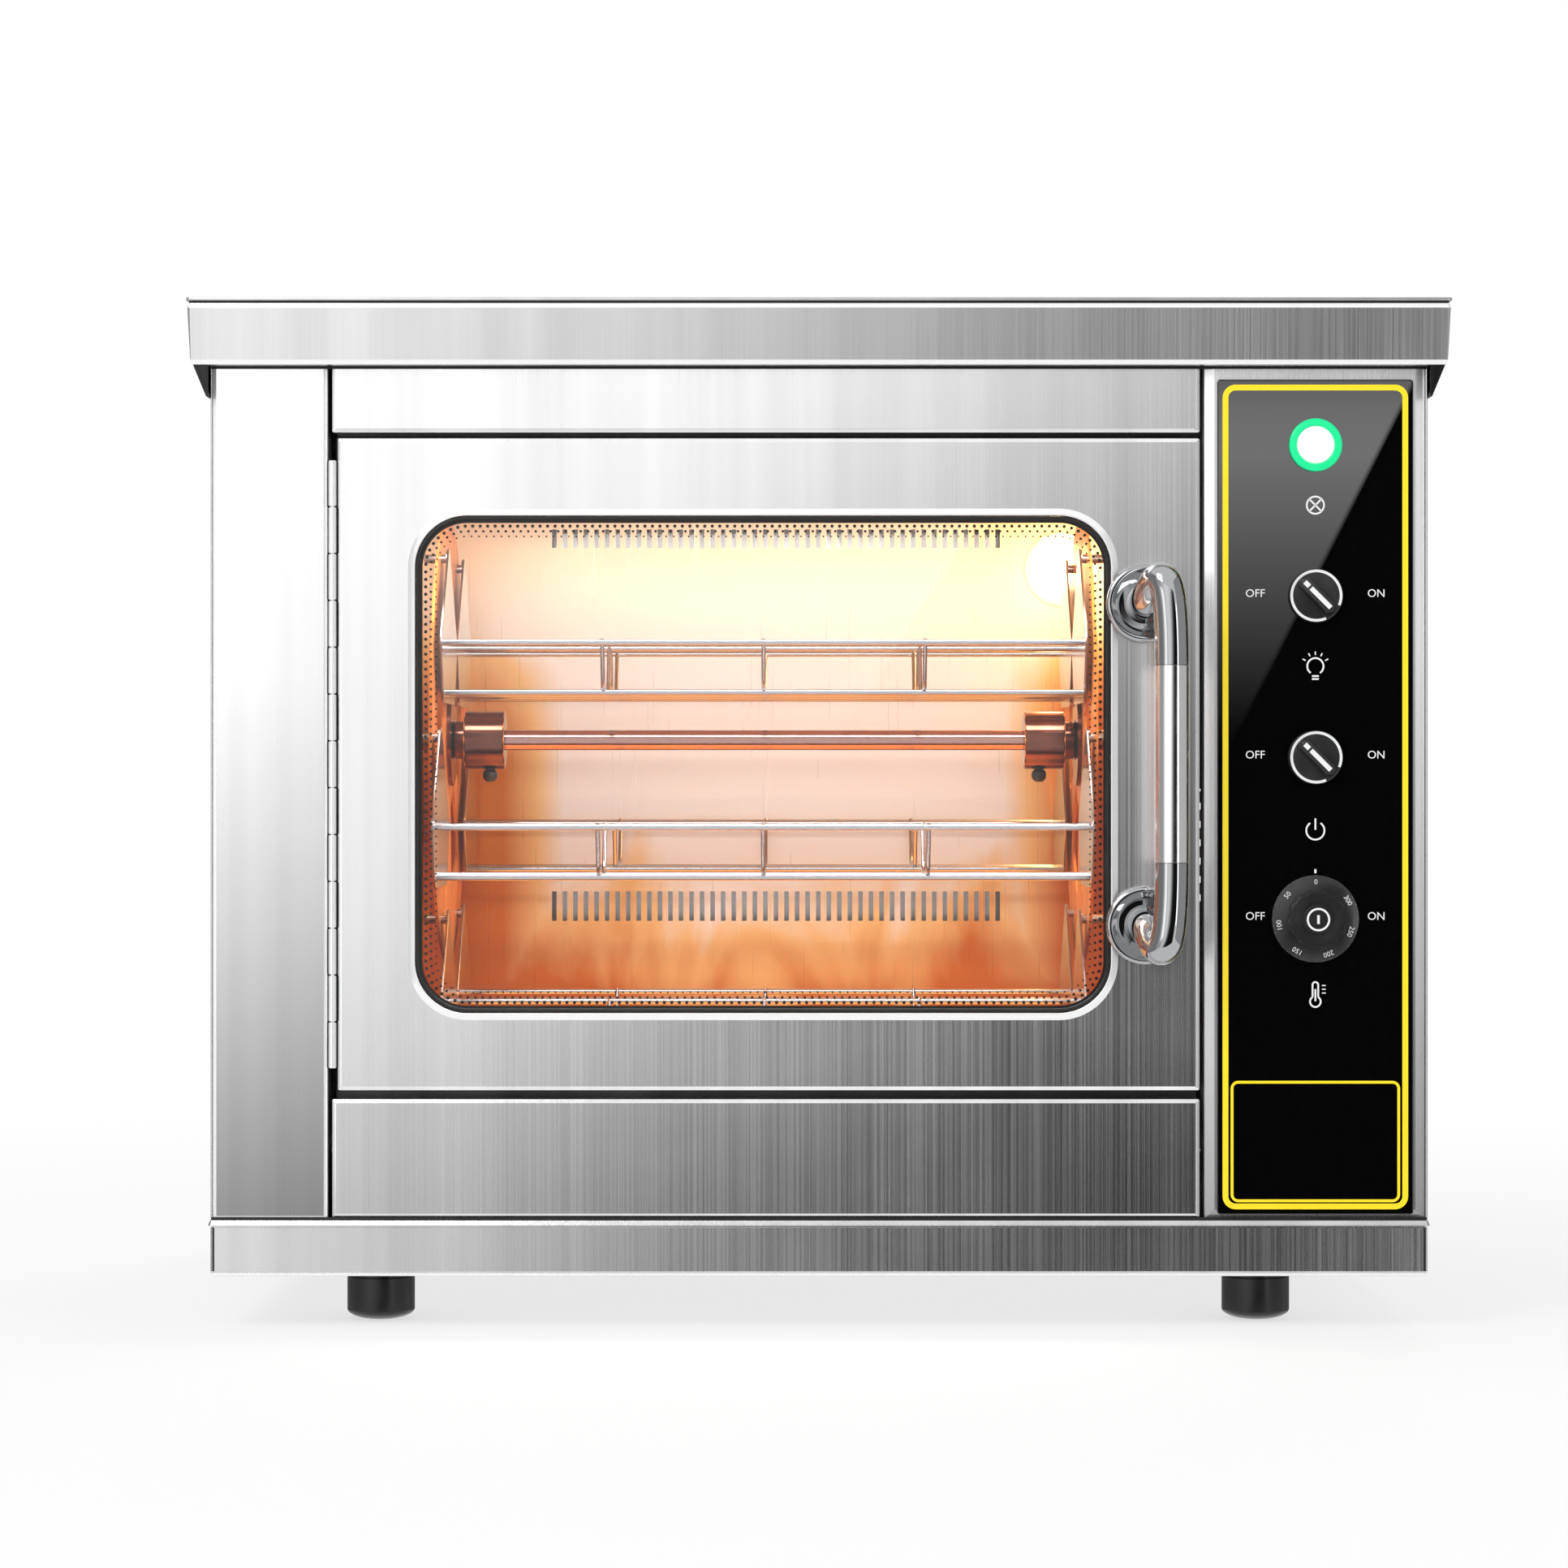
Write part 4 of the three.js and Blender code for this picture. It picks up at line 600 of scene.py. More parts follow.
def coverShell(s, bottom, top):
    # the skirt's profile in (grow, height): inner lip, lower strip, leaning face, upper strip, in and out of
    # the seam, and round the plate's edge to the flat top
    plateLow, slope, lean, edge = top - s["plate"], s["stripDepth"], s["lean"], s["edge"]
    seamLow, seamIn = plateLow - s["seam"], -slope - s["seamDepth"]
    outer = [(-lean - slope - s["lip"], bottom), (-lean - slope, bottom + crease),
             (-lean, bottom + s["strip"]), (0, seamLow - s["strip"]), (-slope, seamLow - crease),
             (-slope - 2 * crease, seamLow), (seamIn, seamLow), (seamIn, plateLow), (edge - soft, plateLow)]
    outer += arcRow(0, plateLow + edge, edge, -40, 0, 3).tolist()
    outer += arcRow(0, top - edge, edge, 0, 90).tolist()
    outer += [(-s["plateInset"], top), (-s["plateInset"], top - s["plateDrop"])]
    deep, shallow, foot = s["hollow"]
    roof, floor = plateLow - s["hollowTop"], bottom + s["sheet"]
    inside = [(skirt, -deep, roof), (skirt, -shallow, roof), (skirt, -foot, floor), (mouth, 0, floor),
              (mouth, 0, bottom)]
    return loopShell(inside + [(skirt, grow, depth) for grow, depth in outer], "xy", steps=6)


def coverTrims(s, bottom, top):
    # bright skins over the lower and the upper strip, partly painted highlight, and a black band of painted
    # shadow in the seam under the plate
    slope, lean, skin = s["stripDepth"], s["lean"], s["skin"]
    seamTop = top - s["plate"] - skin
    seamLow = top - s["plate"] - s["seam"]
    strips = [[(-lean - slope, bottom + crease), (-lean, bottom + s["strip"])],
              [(0, seamLow - s["strip"]), (-slope, seamLow - crease)]]
    inner, outer, low = -slope - s["seamDepth"] + skin, -slope + skin, seamLow + skin
    # painted shadow: the black band in the seam
    joint = [(inner, low), (outer, low), (outer, seamTop), (inner, seamTop)]
    skins = [stripSkin(skirt, strip, 6) for strip in strips]
    return skins, ringShell(skirt, joint, "xy", closed=True, steps=6)


def corniceShell(s, side):
    # the sloping sheet: a flat section carried from front to back, with a plate that closes each end
    inner, outer = side * (-sideX + soft), side * (skirt[1] - s["corniceInset"])
    bottom, t, rim = low[2], s["sheet"], shellTop - soft
    section = np.array([[inner, bottom], [inner + side * t, bottom], [outer, shellTop - crease],
                        [outer - side * 1.6 * t, shellTop - crease], [inner, bottom + 1.6 * t]])
    fill = np.array([[inner, bottom + 1.5 * t], [outer - side * 1.5 * t, rim], [inner, rim]])
    front, back = skirt[2] + s["corniceInset"], skirt[3] - s["corniceInset"]
    plates = [plateShell([fill, fill], (y, y + t), "xz") for y in (front + 2 * soft, back - 2 * soft - t)]
    return plateShell([section, section], (front, back), "xz"), plates


def coverPiece(name, shells, material, sharp=32.0):
    addPiece(name, shells, "cabinet", material, ["top_cover"], sharp)


edgeHighlights, joint = coverTrims(coverSet, shellTop, high[2])
outer, plateDrop = -coverSet["plateInset"] - hair / 2, high[2] - coverSet["plateDrop"]
inner = outer - 2 * crease
topPlate = [(inner, plateDrop), (outer, plateDrop), (outer, high[2]), (inner, high[2])]
coverPiece("cover", coverShell(coverSet, shellTop, high[2]), coverSteel, 15)
# the paler skins over the cover's strips, partly painted highlight
coverPiece("cover_edge_highlights", edgeHighlights, beadAndHighlightSteel, 15)
# the seam's black band, painted shadow
addPiece("cover_seam_shadow", joint, "cabinet", sealAndShadeBlack, sharp=15)
coverPiece("cover_plate", ringShell(skirt, topPlate, "xy", steps=6), topSteel)
for side, label in ((-1, "left"), (1, "right")):
    slope, plates = corniceShell(coverSet, side)
    # the cornices and their end plates in painted shade
    coverPiece(f"{label}_cornice", slope, paintedShadeSteel)
    coverPiece(f"{label}_cornice_ends", plates, paintedShadeSteel)
print("cover done")


# Base pan: bright ledge over a dark seam, soft lower edge
baseSet = {"ledge": 0.0038, "reach": 0.0015, "seam": 0.0012, "seamDepth": 0.0016, "strip": 0.0032,
           "slope": 0.0012, "fold": 0.0014, "foldInset": 0.0012, "flat": -0.012, "radius": 0.0015}
low, high = span("base_pan")
reach = baseSet["reach"]
edges = (low[0] + reach, high[0] - reach, low[1] + reach, high[1] - reach, baseSet["radius"])


def baseShell(s):
    # profile in (grow, height): flat underside, strip, wall, seam, and the proud ledge that slopes upwards
    ledgeLow, top, slope, reach = high[2] - s["ledge"], high[2], s["slope"], s["reach"]
    seamLow, bottom = ledgeLow - s["seam"], low[2]
    rows = [(s["flat"], bottom), (-slope - soft, bottom), (-slope, bottom + crease), (0, bottom + s["strip"]),
            (0, seamLow), (-s["seamDepth"], seamLow), (-s["seamDepth"], ledgeLow), (reach - soft, ledgeLow),
            (reach, ledgeLow + soft), (reach, ledgeLow + 2 * soft), (reach - slope, top - soft),
            (reach - slope - 2 * crease, top), (s["flat"], top)]
    return ringShell(edges, rows, "xy", steps=5)


def baseTrims(s):
    # a bright skin over the lower strip, partly painted highlight, and a dark strip in the fold seam at each
    # front corner, painted shade
    outer = [(-s["slope"], low[2] + crease), (-s["slope"] * 0.4, low[2] + s["strip"] * 0.6)]
    foldLow, foldHigh = low[2] + s["strip"], high[2] - s["ledge"] - s["seam"]
    front = edges[2] - coverSet["skin"]
    foldShadows = [boxShell((x, front, foldLow), (x + s["fold"], edges[2] + 2 * crease, foldHigh))
             for x in (edges[0] + s["foldInset"], edges[1] - s["foldInset"] - s["fold"])]
    return stripSkin(edges, outer, 5), foldShadows


addPiece("base", baseShell(baseSet), "cabinet", baseSteel, ["base_pan"], 20)
# the ledge's paler skin, partly painted highlight, and the corner strips of painted shade
trim, foldShadows = baseTrims(baseSet)
addPiece("base_edge_highlight", trim, "cabinet", beadAndHighlightSteel, ["base_pan"], 20)
addPiece("base_fold_shadows", foldShadows, "cabinet", sealAndShadeBlack)
print("base done")


# Folded front panels: sloping edge strips all round, returns towards the back
edgeTilt = 20.0
sheetSet = {"thickness": 0.0011, "lip": 0.001, "return": 0.006, "corner": 0.0012, "aboveCover": 0.030}
panelSet = {
    "left_front_column": {"strip": 0.0024, "finish": columnSteel},
    "control_column": {"strip": 0.0064, "finish": controlSteel},
    "upper_front_panel": {"strip": 0.0026, "finish": brushedSteel},
    "lower_front_panel": {"strip": 0.0026, "finish": lowerSteel},
}


def panShell(edges, front, back, strip):
    # from the inside face out over the return's rim and over the sloping strip to the flat face
    sheet = sheetSet["thickness"]
    fold = front + sheet + strip * math.tan(math.radians(edgeTilt))
    inner = [(-strip - sheetSet["lip"], front + sheet), (-sheet, fold), (-sheet, back)]
    return ringShell(edges, inner + slopedEdge(front, back, strip, edgeTilt), steps=5)


def panEdgeShell(edges, front, strip):
    # a bright skin over the sloping strip and the start of the return, partly painted highlight
    skin, reach = coverSet["skin"], sheetSet["return"]
    outer = slopedEdge(front, front + reach, strip, edgeTilt)[:-1]
    rows = [(grow + skin, depth - skin) for grow, depth in outer]
    rows += [(-strip + skin, front + 5 * skin), (-5 * skin, front + reach)]
    return ringShell(edges, rows, closed=True, steps=5)


gapAndShadowStripSet = {"high": 0.0017, "proud": 0.0004, "inset": 0.0006, "sideGap": 0.001}
for name, s in panelSet.items():
    low, high = span(name)
    top = min(high[2], shellTop + sheetSet["aboveCover"])
    side = gapAndShadowStripSet["sideGap"] if "panel" in name else 0.0
    edges = (low[0] + side, high[0] - side, low[2], top, sheetSet["corner"])
    # the left column's edge gets a paler skin that partly paints its highlight
    if name == "left_front_column":
        shell = panEdgeShell(edges, low[1], s["strip"])
        addPiece("left_column_edge_highlight", shell, "cabinet", beadAndHighlightSteel, [name], 17)
    shell = panShell(edges, low[1], high[1], s["strip"])
    addPiece(name.replace("front_", "") + "_face", shell, "cabinet", s["finish"], [name], 17)
baseTop = span("base_pan")[1][2]
# painted shadow: black strips across the front just under the cover and just above the base
shadowStripEnd = -sideX - gapAndShadowStripSet["inset"]
for label, z in (("upper", shellTop - gapAndShadowStripSet["high"]), ("lower", baseTop + hair)):
    proud = gapAndShadowStripSet["proud"]
    strip = boxShell((-shadowStripEnd, frontY - proud, z), (shadowStripEnd, frontY + proud, z + gapAndShadowStripSet["high"]))
    addPiece(f"{label}_shadow_strip", strip, "cabinet", sealAndShadeBlack)
print("front panels done")


# Door: skin, bead, gasket, frit dots
low, high = span("door_skin")
beadLow, beadHigh = span("window_trim")
doorSet = {"strip": 0.0026, "sheet": 0.0011, "lip": 0.001, "corner": 0.0015, "beadHeight": 0.0020,
           "beadWidth": 0.005, "beadRadius": 0.0007, "windowRadius": 0.033, "gasket": 0.0027,
           "lipFront": 0.001, "lipBack": 0.00125, "lipRound": 0.0007, "fritStart": 0.0036,
           "bandWidth": 0.0018, "printDepths": (-0.00008, -0.00002), "fritRows": 3, "fritPitch": 0.0048,
           "fritRowPitch": 0.0033, "fritDot": 0.0011, "fritShrink": 0.00025}
bead = doorSet["beadWidth"]
door = (low[0], high[0], low[2], high[2], doorSet["corner"])
window = (beadLow[0] + bead, beadHigh[0] - bead, beadLow[2] + bead, beadHigh[2] - bead,
          doorSet["windowRadius"])


def doorSkinShell(s):
    # one closed profile: rim, outer return, front roll, face, window edge, and back along the inside
    w, t, back = s["strip"], s["sheet"], high[1]
    rows = [(door, grow, depth) for grow, depth in slopedEdge(frontY, back, w, edgeTilt)]
    rows += [(window, 4 * soft, frontY), (window, 2 * crease, frontY), (window, 0, frontY + 2 * crease)]
    rows += [(window, 0, frontY + t), (window, 4 * soft, frontY + t), (door, -w - s["lip"], frontY + t)]
    rows += [(door, -t, frontY + t + w * math.tan(math.radians(edgeTilt))), (door, -t, back)]
    return loopShell(rows, "xz", closed=True, steps=20)


def beadShell(s):
    # bead that rises from its outer rim to a rounded inner edge, closed by a flat back
    w, back, crest, radius = s["beadWidth"], frontY - hair, frontY - s["beadHeight"], s["beadRadius"]
    rows = [(w - crease, back), (w - hair, back - crease), (w - soft, back - 2 * crease), (4 * soft, crest)]
    rows += arcRow(radius + soft, crest + radius, radius, -75, -180, 6).tolist() + [(soft, back)]
    return ringShell(window, rows, closed=True, steps=20)


def gasketShell(s):
    # black lip between bead and glass: flat behind, rounded towards the eye
    inner, face, glass = -s["gasket"], frontY - s["lipFront"], frontY + s["lipBack"]
    rows = [(-hair, glass), (-hair, face + 2 * soft), (-4 * crease, face), (inner + 4 * crease, face),
            (inner, face + s["lipRound"]), (inner, glass)]
    return ringShell(window, rows, closed=True, steps=20)


def fritShell(s, glassFace):
    # solid band, then rows of dots that shrink inwards: loop points spaced evenly by arc length
    front, back = [glassFace + depth for depth in s["printDepths"]]
    outer = -s["gasket"] + crease
    inner = outer - s["bandWidth"]
    band = [(outer, front), (outer, back), (inner, back), (inner, front)]
    shells = [ringShell(window, band, closed=True, steps=20)]
    t = np.linspace(0, 2 * np.pi, 12, endpoint=False)
    for row in range(s["fritRows"]):
        loop = roundedLoop(window, -s["gasket"] - s["fritStart"] - row * s["fritRowPitch"], 40)
        ring = np.concatenate([loop, loop[:1]])
        run = np.concatenate([[0], np.cumsum(np.linalg.norm(np.diff(ring, axis=0), axis=1))])
        at = (np.arange(int(run[-1] / s["fritPitch"])) + 0.5 * (row % 2)) * s["fritPitch"]
        centres = placed(np.stack([np.interp(at, run, line) for line in ring.T], -1), glassFace, "xz")
        size = s["fritDot"] - s["fritShrink"] * row
        disc = np.stack([size * np.cos(t), size * np.sin(t)], -1)
        shells.append(repeated(plateShell([disc, disc], s["printDepths"], "xz"), centres))
    return shells


addPiece("door_face", doorSkinShell(doorSet), "door", brushedSteel, ["door_skin"], 17)
addPiece("window_bead", beadShell(doorSet), "door", beadAndHighlightSteel, ["window_trim"], 30)
addPiece("window_lip", gasketShell(doorSet), "door", sealAndShadeBlack, ["window_gasket"], 60)
addPiece("window_frit", fritShell(doorSet, span("door_glass")[0][1]), "door", mattBlack)
print("door done")


# Piano hinge: round knuckles of the two leaves in turn along one pin
hingeSet = {"barrel": 0.0025, "pin": 0.0012, "pinInset": 0.001, "pitch": 0.030, "gap": 0.0008, "leaf": 0.0008,
            "count": 13}


def hingeShells(s, node, side, first):
    nodeLow, nodeHigh = span(node)
    x = -s["barrel"] + nodeHigh[0] if side < 0 else s["barrel"] + nodeLow[0]
    ledge = frontY + s["barrel"] + s["gap"]
    x0, x1 = (nodeLow[0], nodeLow[0] + s["leaf"]) if side < 0 else (nodeHigh[0] - s["leaf"], nodeHigh[0])
    r, length = s["barrel"], s["pitch"] - s["gap"]
    edge = 2 * crease
    profile = [(0, 0), (r - edge, 0), (r, edge), (r, length - edge), (r - edge, length), (0, length)]
    starts = nodeLow[2] + s["gap"] / 2 + s["pitch"] * np.arange(first, s["count"], 2)
    barrels = repeated(turnedShell(profile, (0, 0, 0), upwards, 28), [(x, frontY, z) for z in starts])
    tab = boxShell((x0, frontY, 0), (x1, ledge, length))
    tabs = repeated(tab, [(0, 0, z) for z in starts])
    return [barrels], [tabs, boxShell((x0, ledge, nodeLow[2]), (x1, nodeHigh[1], nodeHigh[2]))]


fixedBarrels, fixedLeaf = hingeShells(hingeSet, "cabinet_hinge_leaf", -1, 0)
movingBarrels, movingLeaf = hingeShells(hingeSet, "door_hinge_leaf", 1, 1)
low, high = span("cabinet_hinge_leaf")
pinLength = high[2] - low[2] - 2 * hingeSet["pinInset"]
pinFoot = (high[0] - hingeSet["barrel"], frontY, low[2] + hingeSet["pinInset"])
fixedBarrels.append(pinShell(hingeSet["pin"], pinLength, pinFoot, upwards, 16))
addPiece("fixed_hinge_barrels", fixedBarrels, "cabinet", satinSteel, ["cabinet_hinge_leaf"])
# the hinge leaves in painted shade beside the bright barrels
addPiece("fixed_hinge_leaf", fixedLeaf, "cabinet", paintedShadeSteel, ["cabinet_hinge_leaf"])
addPiece("moving_hinge_barrels", movingBarrels, "door", satinSteel, ["door_hinge_leaf"])
addPiece("moving_hinge_leaf", movingLeaf, "door", paintedShadeSteel, ["door_hinge_leaf"])
print("hinge done")


# Handle: two rosettes, two swan bends and the grip between them
handleSet = {"rosette": 0.050, "rosetteHeight": 0.005, "rounding": 0.0025, "boss": 0.032,
             "bossHeight": 0.0028, "collar": 0.003, "collarReach": 0.0018, "collarPlay": 0.001, "rise": 0.050,
             "pull": 0.9, "seat": 0.0003, "root": 0.0025, "bendPlay": 0.00015, "rim": 0.001, "face": 0.004,
             "dish": (0.006, 0.0022), "well": (0.009, 0.0028), "parting": 0.002}
gripLow, gripHigh = span("handle_grip")
gripX, gripY = (gripLow[0] + gripHigh[0]) / 2, (gripLow[1] + gripHigh[1]) / 2
gripRadius = (gripHigh[0] - gripLow[0]) / 2


def bendShell(s, x, z, side):
    # a cubic Bezier curve: out of the rosette, then over into the grip's line
    foot = frontY - s["seat"] - s["bossHeight"] - s["rosetteHeight"]
    end = gripHigh[2] + hair if side > 0 else gripLow[2] - hair
    hold = np.array([[x, foot + s["root"], z], [x, foot - s["pull"] * (foot - gripY), z],
                     [gripX, gripY, z + side * s["rise"]], [gripX, gripY, end]])
    t = np.linspace(0, 1, 48)[:, None]
    weights = ((1 - t) ** 3, 3 * t * (1 - t) ** 2, 3 * t ** 2 * (1 - t), t ** 3)
    path = sum(weight * point for weight, point in zip(weights, hold))
    return tubeShell(path, gripRadius - s["bendPlay"], 40, reference=(1.0, 0.0, 0.0))


def elbowShells(s, node, side):
    # bend, rosette on its boss, and the collar from which the bend rises
    nodeLow, nodeHigh = span(node)
    r, h, b = s["rosette"] / 2, s["rosetteHeight"], s["bossHeight"]
    x = nodeLow[0] + r
    z = nodeHigh[2] - r if side > 0 else nodeLow[2] + r
    top, rounding = h + b, s["rounding"]
    (dishInset, dishDrop), (wellInset, wellDrop) = s["dish"], s["well"]
    profile = [(0, 0), (s["boss"] / 2, 0), (s["boss"] / 2, b), (r - s["rim"], b),
               (r - crease, b + 2 * crease), (r, b + 4 * soft),
               *arcRow(r - rounding, b + rounding, rounding, 0, 90, 7).tolist(),
               (r - s["face"], top - 2 * crease), (r - dishInset, top - dishDrop),
               (r - wellInset, top - wellDrop), (0, top - wellDrop)]
    wide, narrow, foot = gripRadius + s["collarReach"], gripRadius - s["collarPlay"], top - s["collar"]
    collar = [(wide, foot), (wide, top - s["rim"]), (wide - 2 * soft, top - crease), (narrow, top),
              (narrow, foot)]
    seat = (x, frontY - s["seat"], z)
    return [bendShell(s, x, z, side), turnedShell(profile, seat, toFront, 72),
            turnedShell(collar, seat, toFront, 48, closed=True)]


def gripShell():
    # plain barrel between the bends, with a shallow parting line at both ends
    reach, r = (gripHigh[2] - gripLow[2]) / 2, gripRadius - hair
    ends = [(0, -reach), (r - 5 * hair, -reach), (r, -reach + 5 * hair), (r, -reach + handleSet["parting"])]
    profile = ends + [(radius, -height) for radius, height in ends[::-1]]
    return turnedShell(profile, (gripX, gripY, (gripLow[2] + gripHigh[2]) / 2), upwards, 56)


for label, side in (("upper", 1), ("lower", -1)):
    node = f"{label}_handle_elbow"
    addPiece(f"{label}_handle_bend", elbowShells(handleSet, node, side), "door", paintedShadeChrome,
             [node])
addPiece("handle_barrel", gripShell(), "door", gripSteel, ["handle_grip"])
print("handle done")


# Feet: domed rubber with a shallow groove round the wall
footSet = {"flat": 0.003, "dome": 0.0066, "grooveLow": 0.006, "grooveHigh": 0.004, "groove": 0.0012,
           "rim": 0.001}


def footProfile(s, r, height):
    # flat sole, dome, wall with a shallow groove, and a broken upper edge
    t = np.linspace(0, np.pi / 2, 12)
    dome = np.stack([s["flat"] + (r - s["flat"]) * np.sin(t), s["dome"] * (1 - np.cos(t))], -1)
    grooveLow, grooveHigh, inner = height - s["grooveLow"], height - s["grooveHigh"], r - s["groove"]
    return [(0, 0), *dome.tolist(), (r, grooveLow), (inner, grooveLow + 5 * hair),
            (inner, grooveHigh - 5 * hair), (r, grooveHigh), (r, height - s["rim"]), (r - s["rim"], height),
            (0, height)]


for name in ("left_front_foot", "right_front_foot", "left_rear_foot", "right_rear_foot"):
    low, high = span(name)
    profile = footProfile(footSet, (high[0] - low[0]) / 2, high[2] - low[2])
    foot = turnedShell(profile, (*middle(name)[:2], low[2]), upwards, 64)
    addPiece(name.replace("foot", "rubber_foot"), foot, "cabinet", rubber, [name])
print("feet done")


# Control panel: plate, printed lines and signs
plateLow, plateHigh = span("control_fascia")
printY = plateLow[1]
panelX = (plateLow[0] + plateHigh[0]) / 2
knobZ = {name: middle(name)[2] for name in ("lighting_switch_knob", "power_switch_knob", "thermostat_knob")}
pilotZ = middle("indicator_bezel")[2]
plateCorner = 0.002
plate = (plateLow[0], plateHigh[0], plateLow[2], plateHigh[2], plateCorner)
printSet = {"borderInset": 0.0052, "borderWidth": 0.0037, "borderRadius": 0.0065, "boxInset": 0.0088,
            "boxSide": 0.0094, "boxTop": 0.1585, "boxRadius": 0.004, "boxWidth": 0.0018, "wordOffset": 0.0385,
            "wordRise": 0.0015, "wordSize": 0.0072, "signDrop": 0.0468, "pilotDrop": 0.0385,
            "heatDrop": 0.0485, "line": 0.0011, "fineLine": 0.0007, "rayLine": 0.0008, "sunk": 0.00004}


def plateFaceShell():
    # gloss plate with a fine polished edge
    face, edge = plateLow[1], 5 * hair
    rows = [(-2 * edge, plateHigh[1]), (0, plateHigh[1]), (0, face + edge), (-edge * 0.3, face + edge * 0.3),
            (-edge, face), (-2 * edge, face)]
    return ringShell(plate, rows, steps=8)


def printedLines(s):
    # the yellow border, and the empty frame low on the panel
    inset, side = s["borderInset"], s["boxSide"]
    border = (plate[0] + inset, plate[1] - inset, plate[2] + inset, plate[3] - inset, s["borderRadius"])
    inner = (plate[0] + side, plate[1] - side, plate[2] + s["boxInset"], s["boxTop"], s["boxRadius"])
    return [ribbonShell(roundedLoop(border, 0, 10), s["borderWidth"], printY, closed=True),
            ribbonShell(roundedLoop(inner, 0, 10), s["boxWidth"], printY, closed=True)]


# each sign by its strokes from its own middle: circles as x, z, radius, start, end; lines as x, z, x, z;
# rays as angles between two radii about a height; fine lines are drawn with the thinner pen
half = 0.0055 * math.sqrt(0.5)
signSet = {
    "pilot": {"circles": [(0, 0, 0.0055, 0, 360)],
              "lines": [(-half, half, half, -half), (-half, -half, half, half)]},
    "bulb": {"circles": [(0, 0.0018, 0.0052, -55, 235)],
             "lines": [(-0.0022, -0.0045, 0.0022, -0.0045), (-0.0022, -0.0064, 0.0022, -0.0064)],
             "rays": (30, 62, 90, 118, 150), "reach": (0.0072, 0.0094), "rayHeight": 0.0018},
    "power": {"circles": [(0, 0, 0.0058, 125, 415)], "lines": [(0, 0.0005, 0, 0.0078)]},
    "heat": {"circles": [(0, -0.0045, 0.0034, 122, 418)], "lines": [(0, -0.0042, 0, 0.0035)],
             "fine": [(0.0042, dz, 0.0066, dz) for dz in (0.0010, 0.0034, 0.0058)], "stemWidth": 0.0018,
             "arch": 0.0062, "foot": -0.0016},
}
signZ = {"pilot": pilotZ - printSet["pilotDrop"],
         "bulb": knobZ["lighting_switch_knob"] - printSet["signDrop"],
         "power": knobZ["power_switch_knob"] - printSet["signDrop"],
         "heat": knobZ["thermostat_knob"] - printSet["heatDrop"]}


def signShells(s):
    # plain pictures under the controls: lit lamp, bulb, on-off ring and thermometer
    strips = []
    for name, z in signZ.items():
        sign = signSet[name]
        for dx, dz, radius, start, end in sign["circles"]:
            ring = circlePath(panelX + dx, z + dz, radius, start, end)
            strips.append(ribbonShell(ring, s["line"], printY, closed=end - start == 360))
        lines = [(line, s["line"]) for line in sign["lines"]]
        lines += [(line, s["fineLine"]) for line in sign.get("fine", [])]
        for a in np.radians(sign.get("rays", ())):
            inner, outer = [(r * math.cos(a), sign["rayHeight"] + r * math.sin(a)) for r in sign["reach"]]
            lines.append(((*inner, *outer), s["rayLine"]))
        for (x0, z0, x1, z1), width in lines:
            strips.append(ribbonShell([[panelX + x0, z + z0], [panelX + x1, z + z1]], width, printY))
    width, arch, foot = (signSet["heat"][key] for key in ("stemWidth", "arch", "foot"))
    z = signZ["heat"]
    stem = [[panelX + width, z + foot], *circlePath(panelX, z + arch, width, 0, 180, 12),
            [panelX - width, z + foot]]
    return strips + [ribbonShell(stem, s["line"], printY)]


def wordPiece(name, text, x, z, size, body="cabinet", front=None, turn=0.0):
    curve = bpy.data.curves.new(name, "FONT")
    curve.body, curve.size, curve.align_x, curve.align_y = text, size, "CENTER", "CENTER"
    curve.extrude = printSet["sunk"]
    curve.resolution_u = 3
    holder = linked(name + "_text", curve)
    bpy.context.view_layer.update()
    mesh = bpy.data.meshes.new_from_object(holder.evaluated_get(bpy.context.evaluated_depsgraph_get()))
    bpy.data.objects.remove(holder)
    flat = np.zeros(len(mesh.vertices) * 3)
    mesh.vertices.foreach_get("co", flat)
    flat = flat.reshape(-1, 3)
    c, s = math.cos(turn), math.sin(turn)
    level = (printY if front is None else front) - printSet["sunk"]
    points = np.stack([x + flat[:, 0] * c - flat[:, 1] * s, level - flat[:, 2],
                       z + flat[:, 0] * s + flat[:, 1] * c], -1)
    mesh.vertices.foreach_set("co", points.ravel())
    mesh.update()
    mesh.name = name
    mesh.materials.clear()
    mesh.materials.append(whitePrint)
    word = linked(name, mesh)
    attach(word, body)
    return word


addPiece("control_plate", plateFaceShell(), "cabinet", glossBlack, ["control_fascia"], 50)
addPiece("printed_border", printedLines(printSet), "cabinet", yellowPrint)
addPiece("printed_signs", signShells(printSet), "cabinet", whitePrint)
for label, z in zip(("lighting", "power", "heat"), knobZ.values()):
    height, size, offset = z + printSet["wordRise"], printSet["wordSize"], printSet["wordOffset"]
    wordPiece(f"{label}_off", "OFF", panelX - offset, height, size)
    wordPiece(f"{label}_on", "ON", panelX + offset + 0.0005, height, size)
print("control panel done")


# Pilot lamp: bright green ring round a domed white lens
pilotSet = {"rounding": 0.0015, "bevel": 0.0006, "play": 0.0002, "neck": 0.009, "sunk": 0.0008}
low, high = span("indicator_bezel")
lensLow, lensHigh = span("indicator_lens")
place = (panelX, high[1], pilotZ)
outer, height = (high[0] - low[0]) / 2, high[1] - low[1]
inner = (lensHigh[0] - lensLow[0]) / 2 + pilotSet["play"]


